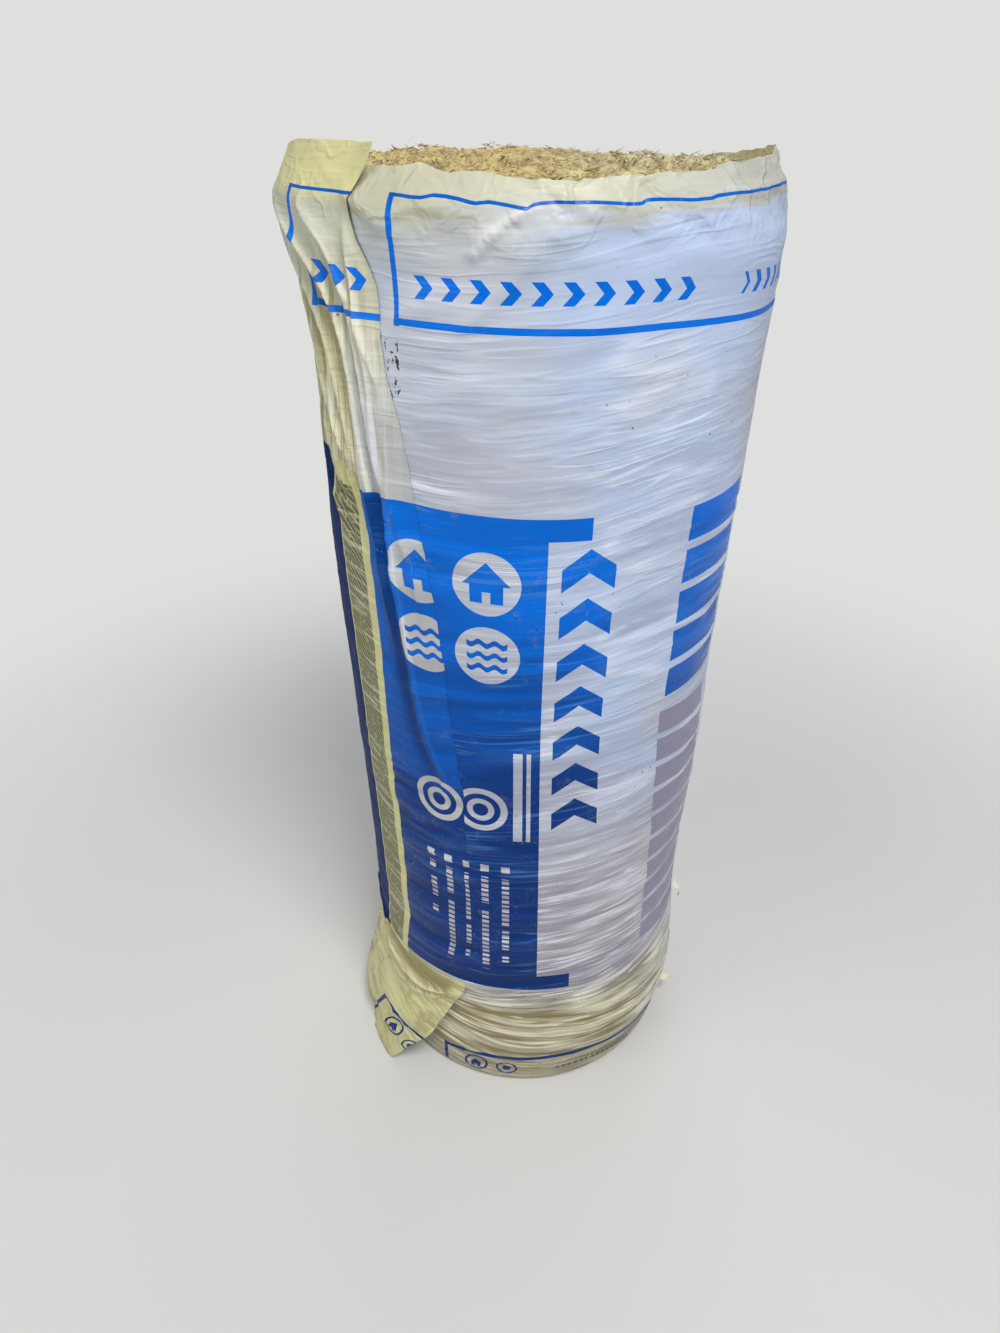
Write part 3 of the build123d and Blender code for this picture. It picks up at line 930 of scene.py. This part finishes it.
        # Painted shade at the foot, darker towards the floor, streaky
        foot_shade_mask = y.fade(0.080, 0.030) * (self.streaks.fade(0.30, 0.55) * 0.45 + 0.15)
        return self.coated(
            colours.film,
            (cloud.fade(0.36, 0.64), colours.film_cool),
            (self.streaks.fade(0.35, 0.68) * 0.5, colours.film_shade),
            (right_cool_light * 0.72, colours.film_right_light),
            # Painted warm floor light and shade, darker and warmer low on the roll
            (y.fade(0.66, 0.26) * 0.75, colours.film_low_shade),
            (layer * 0.7, colours.film_white),
            (edge.fade(1.120, 1.136) * (1 - layer), colours.collar),
            (self.cream, colours.cream),
            # Painted shade in the hollows and painted highlights on the crests, the fine wrinkles
            # and the glints
            (self.hollow_shade * 0.85, hollow_shade_colour),
            (self.crest * 0.75, stretched),
            (self.fine_wrinkle.fade(0.49, 0.36) * self.low_down * 0.80, hollow_shade_colour),
            (self.fine_wrinkle.fade(0.56, 0.63) * self.low_down * 0.80, stretched),
            (self.glint_streak * 0.55, stretched),
            # Painted shade between the fine pleats and painted highlight along them
            (self.pleat.fade(0.47, 0.37) * self.pleated * 0.80, colours.pleat_shade),
            (self.pleat.fade(0.56, 0.61) * self.pleated * 0.85, colours.pleat_highlight),
            (foot_shade_mask * (1 - (layer > 0.5) * 0.7), colours.foot_shade),
            (strip, colours.cream))

    def print_ink(self, ink):
        """Colour of the main print, with painted shade low down and in hollows, deeper at the rim,
        painted highlights on crests and glints, and scratched thin where the ink is worn.
        """
        colours, y = self.colours, self.y
        return self.coated(
            colours.blue,
            # Painted shade: the print deeper towards the bottom
            (y.fade(0.86, 0.50), colours.blue_low),
            (self.layer * y.between(0.55, 0.90) * 0.30, colours.blue),
            # Painted shade on the print in the hollows
            (self.hollow_shade * 0.90, colours.blue_hollow_shade),
            (y.fade(1.120, 1.134) * 0.45, colours.blue_low),
            # Painted highlight on the print's crests and glints; below it, the ink scratched thin
            # where worn
            (self.crest * 0.25 + self.glint_streak * 0.40, colours.scratch),
            (1 - ink, colours.scratch))

    def printed(self):
        """The whole colour, with its dirt and scratches, and where the side print lies."""
        colours, x, y = self.colours, self.x, self.y
        blue = self.top_frame() | self.panel() | self.arrows_and_blocks()
        pale = slant_blocks(x, y, at(38.8), at(67.0), 0.252, 0.646, 0.0400, 0.80, -0.10)
        strip = self.boxes((STRIP_LEFT, PANEL_LEFT, STRIP_LOW, STRIP_HIGH))
        dark = self.boxes((DARK_LEFT, STRIP_LEFT, STRIP_LOW, STRIP_HIGH))
        rows = ((y + x * 0.9) % 0.0078) / 0.0078
        words = self.texture(self.scaled(self.on_film, 200.0, 120.0), 1.0, 1.0)
        fine = (words > 0.38) * rows.between(0.12, 0.72) | 0.52
        fine = fine * self.boxes((-47.8, -36.8, 0.215, 0.885))
        wear = self.texture(self.scaled(self.on_film, 26.0, 170.0), 1.0, 4.0, 0.65)
        ink = 1 - wear.fade(0.66, 0.80) * 0.55
        # Painted highlights on the side strip's fine wrinkles and glints
        strip_glint = self.fine_wrinkle.fade(0.56, 0.64) | self.glint_streak

        # Dirt: specks, a smudge by the flap and scratches across the print
        specks = self.add("ShaderNodeTexVoronoi", {"feature": "F1"},
                          {"Vector": self.objects, "Scale": 95.0})
        patches = self.texture(self.objects, 17.0, 2.0)
        dirt = (specks < 0.10) * patches.fade(0.60, 0.68)
        strokes = self.texture(self.scaled(self.objects, 1.0, 1.0, 0.45), 170.0, 3.0, 0.75)
        smudge = self.boxes((-36.4, -33.0, 0.965, 1.032)) * (self.layer < 0.5)
        smudge = (strokes > 0.573) * smudge
        grime = self.texture(self.objects, 34.0, 5.0, 0.7).fade(0.60, 0.78) * 0.30
        scratch = self.texture(self.scaled(self.on_film, 46.0, 30.0), 1.0, 2.0, 0.5, 1.2)
        scratches = (abs(scratch - 0.5) < 0.0035) * patches.fade(0.50, 0.58)
        colour = self.coated(
            self.bare_film(strip),
            (blue, self.print_ink(ink)),
            (pale * ink * 0.95, colours.grey_print),
            (dark * ink, colours.navy),
            (self.foot_frame() * ink, colours.foot_blue),
            (fine * 0.85, colours.fine_grey),
            (strip_glint * strip * 0.42, colours.crest_low),
            (grime, colours.grime),
            ((dirt * 0.8) | (smudge * 0.95), colours.dirt),
            (scratches * blue * 0.55, colours.scratch))
        return colour, dark | strip

    def fine_relief(self):
        """The finest creases, as bump."""
        crease = self.along_run(9.0, 95.0, 1.5, 0.5)
        crests = crease.crease(9.0) * self.hollow_shade.fade(0.25, 0.0)
        crackle = self.texture(self.objects, 60.0, 3.0, 0.6)
        crinkle = self.texture(self.objects, 34.0, 2.0, 0.5, 0.6).crease(8.0)
        crinkle = crinkle * self.y.fade(1.09, 1.135) * 1.5 * (1 - self.layer * 0.75)
        height = crease * 1.1 + crests * 0.5 + crackle * 0.4 + crinkle + self.glint_streak * 0.5
        height = height + self.fine_wrinkle * self.low_down * 1.6 + self.pleat * self.pleated * 7.0
        return self.relief(0.5, 0.0012, height)

    def whole(self):
        """The finished material."""
        colour, side_print = self.printed()
        gloss = 0.24 + self.texture(self.objects, 24.0, 3.0).fade(0.4, 0.75) * 0.12
        gloss = gloss + self.cream * 0.08 - self.crest * 0.08 + side_print * 0.30
        return self.finish(Base_Color=colour, Roughness=gloss + self.hollow_shade * 0.14,
                           Normal=self.fine_relief(), Specular_IOR_Level=0.13)


def wool_material(colours, name, lighter):
    nodes = Nodes(name)
    objects = nodes.place_on_object()
    across, _, _ = nodes.parts(objects)
    lumps = nodes.texture(objects, 62.0, 4.0, 0.65)
    fibres = nodes.texture(nodes.scaled(objects, 1.0, 1.0, 0.35), 520.0, 4.0, 0.7, 1.6)
    grey = nodes.texture(objects, 15.0, 2.0)
    plain = nodes.mix(across.fade(-0.06, 0.12), colours.wool, colours.wool_pale)
    colour = nodes.coated(
        colours.wool_deep,
        (lumps.fade(0.33, 0.60), plain),
        (fibres.fade(0.45, 0.72) * lighter, colours.wool_light),
        (grey.fade(0.63, 0.72) * 0.55, colours.wool_grey))
    return nodes.finish(Base_Color=colour, Roughness=0.92, Specular_IOR_Level=0.25,
                        Normal=nodes.relief(0.8, 0.002, fibres + lumps * 0.5))


# The wool's ends, each with the seed of its noise
TOP_END, LOW_END = 100, 200
UPWARD = np.array([0.0, 0.0, 1.0])


def end_relief(radius, turn, end):
    """Height of the roll's end over its mean level: crowned turns, lumps and torn layers."""
    sizes = bpy.context.scene.roll_sizes
    bore, pitch = sizes.bore_radius, sizes.turn_pitch
    phase = (radius - bore) / pitch - 0.5 - turn / (2 * math.pi)
    number = np.floor(phase)
    part = phase - number
    total_turn = 2 * math.pi * number + turn
    length = bore * total_turn + pitch * total_turn**2 / (4 * math.pi)
    wander = 0.10 * noise(length * 14.0, 0.0, 0.0, end + 1)
    seam = -0.0085 * bell(np.minimum(part + wander, 1 - part - wander), 0.0, 0.10)
    crown = 0.0035 * (4 * part * (1 - part)) - 0.002
    x, y = radius * np.cos(turn), radius * np.sin(turn)
    lumps = 0.0042 * noise(x * 26, y * 26, 0.0, end + 2)
    lumps = lumps + 0.0026 * noise(x * 70, y * 70, 0.0, end + 3)
    layers = 0.0030 * ridges(length * 42.0, part * 7.0, 0.0, end + 4, 1.3)
    flakes = 0.0022 * noise(length * 120.0, part * 12.0, 0.0, end + 5)
    # The top has sunk a little at the back right
    away = facing(np.degrees(turn) - 58.0)
    sunk = 0.0075 * ramp(radius, 0.07, 0.18) * bell(away, 0.0, 36.0) * (end == TOP_END)
    return seam + crown + lumps + layers + flakes - sunk


def wool_mesh():
    """A closed body: top end, outside, bottom end and bore."""
    bore = bpy.context.scene.roll_sizes.bore_radius
    turn = np.linspace(0, 2 * math.pi, 420, endpoint=False)
    azimuth = np.degrees(np.arctan2(np.cos(turn), -np.sin(turn)))
    rings = []

    def ring(radius, height):
        place = radius * np.cos(turn), radius * np.sin(turn), height
        rings.append(np.stack(np.broadcast_arrays(*place), -1))

    for radius in np.linspace(bore, WOOL_RADIUS - 0.012, 78):
        lip = np.exp(-(radius - bore) / 0.004)
        rim = ramp(radius, WOOL_RADIUS - 0.040, WOOL_RADIUS - 0.012)
        relief = end_relief(radius, turn, TOP_END) * (1 - 0.6 * rim)
        ring(radius, WOOL_TOP - 0.0015 + relief - 0.004 * lip - 0.006 * rim)
    for bend in np.radians([22.5, 45.0, 67.5, 90.0]):
        height = WOOL_TOP - 0.010 - 0.012 * (1 - math.cos(bend))
        ring(WOOL_RADIUS - 0.014 + 0.012 * math.sin(bend) + body_swell(azimuth, height), height)
    for height in np.linspace(WOOL_TOP - 0.03, 0.02, 22):
        ring(WOOL_RADIUS - 0.0022 + body_swell(azimuth, height), height)
    for radius in np.linspace(WOOL_RADIUS - 0.008, bore, 44):
        lip = np.exp(-(radius - bore) / 0.004)
        hem = ramp(radius, HEM_INNER - 0.012, HEM_INNER + 0.004)
        relief = end_relief(radius, turn, LOW_END) * (1 - hem)
        free = np.maximum(0.0058 - relief * 0.55, 0.0012) * (1 - hem)
        ring(radius, free + 0.0030 * hem + 0.004 * lip)
    for height in np.linspace(0.02, WOOL_TOP - 0.02, 10):
        ring(bore + 0.0012 * noise(turn * 2.5, height * 40, 0.0, 9) * np.sin(turn / 2), height)
    index = np.arange(len(rings) * len(turn)).reshape(len(rings), len(turn))
    after = np.roll(index, -1, 0)
    faces = np.stack([index, after, np.roll(after, -1, 1), np.roll(index, -1, 1)], -1)
    return np.concatenate(rings), faces.reshape(-1, 4)


def strand_batch(rng, spots, lengths, widths, rises, curl):
    """Thin three-sided strands, each bent along its length."""
    segments = 3
    points, faces = [], []
    for (base, along), length, width, rise in zip(spots, lengths, widths, rises):
        side = np.array([-along[1], along[0], 0.0])
        ahead = along * math.cos(rise) + UPWARD * math.sin(rise)
        bend = (side * rng.uniform(-1, 1) + UPWARD * rng.uniform(-0.9, 0.5)) * curl
        start = len(points)
        for share in np.linspace(0, 1, segments + 1):
            middle = base + (ahead * share + bend * share * share) * length
            for angle in (0.0, 2.0944, 4.1888):
                across = side * math.cos(angle) + UPWARD * math.sin(angle)
                points.append(middle + across * width * (1 - 0.75 * share))
        last = start + 3 * segments
        for low in range(start, last, 3):
            for corner, after in ((0, 1), (1, 2), (2, 0)):
                faces.append((low + corner, low + after, low + 3 + after, low + 3 + corner))
        faces += [(start + 2, start + 1, start), (last, last + 1, last + 2)]
    return points, faces


def tuft_mesh():
    """Loose strands and torn flakes on the roll's ends."""
    sizes = bpy.context.scene.roll_sizes
    rng = np.random.RandomState(7)
    points, faces = [], []
    for end, count, reach, curl in ((TOP_END, sizes.strands, 0.2085, 0.28),
                                    (LOW_END, sizes.strands // 4, 0.172, 0.05)):
        radius = np.sqrt(rng.uniform((sizes.bore_radius + 0.003) ** 2, reach**2, count))
        turn = rng.uniform(0, 2 * math.pi, count)
        relief = end_relief(radius, turn, end)
        if end == TOP_END:
            height = WOOL_TOP - 0.0025 + relief
        else:
            height = np.maximum(0.0058 - 0.55 * relief, 0.0012) + 0.001
        sway = rng.uniform(-0.75, 0.75, count)
        spots = []
        for r, t, h, s in zip(radius, turn, height, sway):
            way = 1 if rng.rand() < 0.5 else -1
            along = np.array([-math.sin(t + s), math.cos(t + s), 0.0]) * way
            spots.append((np.array([r * math.cos(t), r * math.sin(t), h]), along))
        lengths = rng.gamma(2.6, 0.0021, count) + 0.0025
        widths = rng.uniform(0.00022, 0.00070, count)
        flakes = rng.rand(count) < 0.34
        widths[flakes] = rng.uniform(0.0008, 0.0019, flakes.sum())
        if end == TOP_END:
            rises = rng.uniform(0.0, 0.38, count)
            standing = rng.rand(count) < 0.015
            rises[standing] = rng.uniform(0.8, 1.35, standing.sum())
            lengths[standing] *= 0.55
        else:
            rises = rng.uniform(-0.02, 0.05, count)
        made, sides = strand_batch(rng, spots, lengths, widths, rises, curl)
        faces += [tuple(corner + len(points) for corner in side) for side in sides]
        points += made
    points = np.array(points)
    points[:, 2] = np.clip(points[:, 2], FLOOR_GAP, WOOL_TOP + 0.013)
    return points, faces


# Torn scraps on the film: azimuth, height, and the length, width and fall of each
SCRAPS = [(70.5, 0.258, 0.026, 0.0110, -1.30), (71.0, 0.040, 0.022, 0.0180, 0.35),
          (71.0, 0.118, 0.008, 0.0045, 0.4)]


def scrap_mesh():
    """Small crumpled strips that stand out from the film."""
    points, faces = [], []
    for number, (azimuth, height, length, width, fall) in enumerate(SCRAPS):
        turn = math.radians(azimuth)
        out = np.array([math.sin(turn), -math.cos(turn), 0.0])
        aside = np.array([math.cos(turn), math.sin(turn), 0.0])
        foot = out * (FILM_RADIUS + 0.0005) + UPWARD * height
        start = len(points)
        for share in np.linspace(0, 1, 9):
            bend = fall * (0.5 + 0.5 * share) + 0.16 * math.sin(5.0 * share + number)
            ahead = out * (0.30 + 0.70 * math.cos(bend)) + UPWARD * math.sin(bend)
            for column in range(5):
                side = (column / 4 - 0.5) * width * (1 - 0.75 * share**1.5)
                crumple = 0.0011 * noise(share * 4.0, column * 0.9, number * 3.0, 91)
                spot = foot + ahead * length * share + aside * side
                points.append(spot + (UPWARD * share + out) * crumple)
        corners = [(first, first + 1, first + 6, first + 5)
                   for row in range(8) for first in range(start + 5 * row, start + 5 * row + 4)]
        faces += corners
    return points, faces


# Sizes and colours that a user would change
class RollSizes(bpy.types.PropertyGroup):
    bore_radius: bpy.props.FloatProperty(
        name="Bore radius", description="Hole that the winding spindle leaves",
        default=0.020, unit="LENGTH")
    turn_pitch: bpy.props.FloatProperty(
        name="Turn pitch", description="Thickness of one turn of the pressed blanket",
        default=0.02566, unit="LENGTH")
    strands: bpy.props.IntProperty(
        name="Strands", description="Loose strands on the roll's top end", default=6600)


def tint(name, description, default):
    return bpy.props.FloatVectorProperty(
        name=name, description=description, default=default, subtype="COLOR", min=0, max=1)


class RollColours(bpy.types.PropertyGroup):
    film: tint("Film", "Film over the wool", (0.60, 0.635, 0.71))
    film_cool: tint("Cool film", "Film in its bluish clouds", (0.51, 0.585, 0.70))
    film_shade: tint("Film shade", "Film in its level streaks", (0.49, 0.50, 0.58))
    # Painted cool light on the roll's right side
    film_right_light: tint("Blue film", "Film on the roll's right", (0.50, 0.63, 0.90))
    # Painted warm floor light and shade, darker and warmer low on the roll
    film_low_shade: tint("Film warm", "Film low down on the roll", (0.53, 0.51, 0.52))
    collar: tint("Collar", "Film over the rim", (0.485, 0.50, 0.455))
    film_white: tint("White film", "Film that lies double", (0.53, 0.545, 0.51))
    # Cream: the film's tone where it stands free of the wool, with painted light shining through
    # it
    cream: tint("Cream", "Film that stands free of the wool", (0.68, 0.665, 0.335))
    # Painted shade in the film's hollows, plain and where the film is cream
    hollow_shade: tint("Hollow", "Film in hollows against the wool", (0.30, 0.29, 0.36))
    cream_hollow_shade: tint("Low hollow", "Hollows where the film is cream", (0.25, 0.195, 0.085))
    # Painted highlights on the film's crests; the low crest colour is also the torn scraps' own
    # colour
    crest: tint("Crest", "Film pulled free of the wool", (0.86, 0.88, 0.98))
    crest_low: tint("Low crest", "Crests where the film is cream", (0.92, 0.88, 0.66))
    # Painted shade between the fine pleats and painted highlight along them
    pleat_shade: tint("Pleat hollow", "Between the fine pleats", (0.34, 0.31, 0.13))
    pleat_highlight: tint("Pleat crest", "Along the fine pleats", (0.90, 0.89, 0.72))
    blue: tint("Blue", "Main print", (0.0, 0.172, 0.80))
    # Painted shade: the main print deeper low on the roll
    blue_low: tint("Low blue", "Main print low on the roll", (0.0, 0.037, 0.225))
    # Painted shade on the print in the hollows
    blue_hollow_shade: tint("Deep blue", "Main print in hollows", (0.0, 0.024, 0.14))
    navy: tint("Navy", "Dark strip", (0.0, 0.020, 0.125))
    # Painted shade at the foot, darker towards the floor
    foot_shade: tint("Foot shade", "Film soiled at the foot", (0.27, 0.235, 0.165))
    foot_blue: tint("Foot blue", "Frame at the foot", (0.008, 0.040, 0.200))
    grey_print: tint("Grey print", "Pale second print", (0.28, 0.26, 0.38))
    fine_grey: tint("Fine grey", "Fine rows on the side strip", (0.045, 0.055, 0.060))
    grime: tint("Grime", "Soft marks on the film", (0.36, 0.32, 0.26))
    dirt: tint("Dirt", "Specks and smudges", (0.02, 0.02, 0.018))
    # Scratch: the ink scratched thin, and also the painted highlight on the print's crests and
    # glints
    scratch: tint("Scratch", "Ink scratched thin", (0.10, 0.28, 0.62))
    wool: tint("Wool", "Mineral wool", (0.67, 0.525, 0.22))
    wool_pale: tint("Pale wool", "Mineral wool on the right", (0.66, 0.60, 0.335))
    wool_deep: tint("Deep wool", "Wool in its hollows", (0.30, 0.22, 0.095))
    wool_light: tint("Light wool", "Wool fibres that catch the light", (0.92, 0.84, 0.60))
    wool_grey: tint("Grey wool", "Denser lumps", (0.33, 0.25, 0.19))


class StageSettings(bpy.types.PropertyGroup):
    lens: bpy.props.FloatProperty(
        name="Lens", description="Focal length of the camera", default=23.125, unit="CAMERA")
    place: bpy.props.FloatVectorProperty(
        name="Camera place", description="Where the camera stands",
        default=(-0.0376, -0.9077, 1.2101), subtype="TRANSLATION")
    pitch: bpy.props.FloatProperty(
        name="Pitch", description="How far the camera looks down",
        default=math.radians(34.72), subtype="ANGLE")
    roll: bpy.props.FloatProperty(
        name="Roll", description="Turn of the camera about its own axis",
        default=math.radians(0.17), subtype="ANGLE")
    floor: tint("Floor", "Floor and backdrop", (0.74, 0.74, 0.73))
    world: bpy.props.FloatProperty(
        name="World light", description="Strength of the light from all sides", default=0.33)
    key: bpy.props.FloatProperty(
        name="Key lamp", description="Power of the large soft lamp", default=50.0, unit="POWER")
    fill: bpy.props.FloatProperty(
        name="Fill lamp", description="Power of the lamp on the other side", default=15.0,
        unit="POWER")


class ROLL_OT_wool(bpy.types.Operator):
    """Makes the rolled wool with its turned ends"""

    bl_idname = "roll.wool"
    bl_label = "Wool roll"

    def execute(self, context):
        material = wool_material(context.scene.roll_colours, "mineral_wool", 0.55)
        wool = piece("wool_body", *wool_mesh(), material, "wool")
        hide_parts("wool_roll")
        return {"FINISHED"}


class ROLL_OT_tufts(bpy.types.Operator):
    """Makes the loose strands on the wool's ends"""

    bl_idname = "roll.tufts"
    bl_label = "Wool strands"

    def execute(self, context):
        material = wool_material(context.scene.roll_colours, "wool_strand", 0.9)
        piece("wool_strands", *tuft_mesh(), material, "wool")
        return {"FINISHED"}


class ROLL_OT_scraps(bpy.types.Operator):
    """Makes the torn scraps that stand out from the film"""

    bl_idname = "roll.scraps"
    bl_label = "Film scraps"

    def execute(self, context):
        material = Nodes("torn_film").finish(
            Base_Color=opaque(context.scene.roll_colours.crest_low), Roughness=0.35,
            Specular_IOR_Level=0.28)
        piece("film_scraps", *scrap_mesh(), material, "film")
        return {"FINISHED"}


class ROLL_OT_film(bpy.types.Operator):
    """Makes the printed film with its loose flap and tail"""

    bl_idname = "roll.film"
    bl_label = "Printed film"

    def execute(self, context):
        grid = FilmGrid()
        material = FilmNodes(context.scene.roll_colours).whole()
        faces = sheet_faces(*grid.level.shape)
        film = piece("film_sheet", film_points(grid), faces, material, "film")
        print_map(film, *print_place(grid))
        for name, values in film_numbers(grid).items():
            point_numbers(film, name, values)
        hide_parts("film_wrap")
        return {"FINISHED"}


def area_lamp(name, place, aim, size, power, colour):
    lamp = bpy.data.lights.new(name, "AREA")
    lamp.shape = "RECTANGLE"
    lamp.size, lamp.size_y = size
    lamp.energy = power
    lamp.color = colour
    made = bpy.data.objects.new(name, lamp)
    made.location = place
    made.rotation_euler = (Vector(aim) - Vector(place)).to_track_quat("-Z", "Y").to_euler()
    bpy.context.scene.collection.objects.link(made)


def soft_world(strength, backdrop):
    """The camera sees the pale backdrop, and the roll the soft light."""
    world = bpy.data.worlds.new("soft_world")
    world.use_nodes = True
    tree = world.node_tree
    path = tree.nodes.new("ShaderNodeLightPath")
    chosen = tree.nodes.new("ShaderNodeMix")
    chosen.data_type = "RGBA"
    light = [strength * part for part in (0.93, 0.95, 1.0)]
    chosen.inputs[6].default_value = (*light, 1.0)
    chosen.inputs[7].default_value = (*backdrop, 1.0)
    tree.links.new(path.outputs[0], chosen.inputs[0])
    tree.links.new(chosen.outputs[2], tree.nodes["Background"].inputs[0])
    return world


def photo_camera(settings):
    """A camera that stands where the photograph was taken."""
    ahead = Vector((0.0, math.cos(settings.pitch), -math.sin(settings.pitch)))
    right = Vector((1.0, 0.0, 0.0))
    up = right.cross(ahead)
    turned_right = math.cos(settings.roll) * right + math.sin(settings.roll) * up
    turned_up = math.cos(settings.roll) * up - math.sin(settings.roll) * right
    camera_data = bpy.data.cameras.new("camera")
    camera_data.sensor_fit = "AUTO"
    camera_data.sensor_width = 36.0
    camera_data.lens = settings.lens
    camera_data.clip_start = 0.01
    camera = bpy.data.objects.new("camera", camera_data)
    axes = Matrix((turned_right, turned_up, -ahead)).transposed().to_4x4()
    camera.matrix_world = Matrix.Translation(Vector(settings.place)) @ axes
    return camera


class ROLL_OT_stage(bpy.types.Operator):
    """Makes the floor, the lamps, the world and the camera"""

    bl_idname = "roll.stage"
    bl_label = "Stage"

    def execute(self, context):
        scene = context.scene
        settings = scene.roll_stage
        bpy.ops.object.select_all(action="DESELECT")
        bpy.ops.mesh.primitive_plane_add(size=14.0, location=(0.0, 0.0, 0.0))
        floor = context.active_object
        floor.name = "floor"
        # Far from the roll the floor glows evenly, so it passes into the backdrop
        nodes = Nodes("pale_floor")
        away = nodes.add("ShaderNodeVectorMath", {"operation": "LENGTH"},
                         {0: nodes.place_on_object()}, 1)
        far = away.fade(0.55, 1.7) * nodes.add("ShaderNodeLightPath")
        black = (0.0, 0.0, 0.0)
        floor.data.materials.append(nodes.finish(
            Base_Color=nodes.mix(far, settings.floor, black),
            Emission_Color=nodes.mix(far, black, settings.floor), Emission_Strength=1.0,
            Roughness=1.0, Specular_IOR_Level=0.0))

        scene.world = soft_world(settings.world, settings.floor)
        aim = (0.0, 0.0, 0.65)
        for name, place, size, power, colour in (
                ("key_lamp", (0.55, -1.35, 2.85), (0.9, 0.9), settings.key, (1.0, 0.98, 0.96)),
                ("fill_lamp", (-2.1, -1.2, 1.7), (1.4, 1.8), settings.fill, (1.0, 0.97, 0.9)),
                ("back_lamp", (0.4, 2.2, 2.6), (1.8, 1.0), settings.fill, (0.95, 0.97, 1.0))):
            area_lamp(name, place, aim, size, power, colour)
        scene.camera = photo_camera(settings)
        scene.collection.objects.link(scene.camera)
        scene.view_settings.view_transform = "Standard"
        return {"FINISHED"}


class ROLL_PT_panel(bpy.types.Panel):
    bl_label = "Insulation roll"
    bl_idname = "ROLL_PT_panel"
    bl_space_type = "VIEW_3D"
    bl_region_type = "UI"
    bl_category = "Roll"

    def draw(self, context):
        for group in ("roll_sizes", "roll_colours", "roll_stage"):
            holder = getattr(context.scene, group)
            for name in holder.__annotations__:
                self.layout.prop(holder, name)
        for operator in ("roll.wool", "roll.tufts", "roll.film", "roll.scraps", "roll.stage"):
            self.layout.operator(operator)


CLASSES = (RollSizes, RollColours, StageSettings, ROLL_OT_wool, ROLL_OT_tufts, ROLL_OT_film,
           ROLL_OT_scraps, ROLL_OT_stage, ROLL_PT_panel)


def register():
    for item in CLASSES:
        bpy.utils.register_class(item)
    bpy.types.Scene.roll_sizes = bpy.props.PointerProperty(type=RollSizes)
    bpy.types.Scene.roll_colours = bpy.props.PointerProperty(type=RollColours)
    bpy.types.Scene.roll_stage = bpy.props.PointerProperty(type=StageSettings)


def unregister():
    for group in ("roll_sizes", "roll_colours", "roll_stage"):
        delattr(bpy.types.Scene, group)
    for item in reversed(CLASSES):
        bpy.utils.unregister_class(item)


def main():
    register()
    bpy.ops.roll.wool()
    bpy.ops.roll.tufts()
    bpy.ops.roll.film()
    bpy.ops.roll.scraps()
    bpy.ops.roll.stage()


if __name__ == "__main__":
    main()
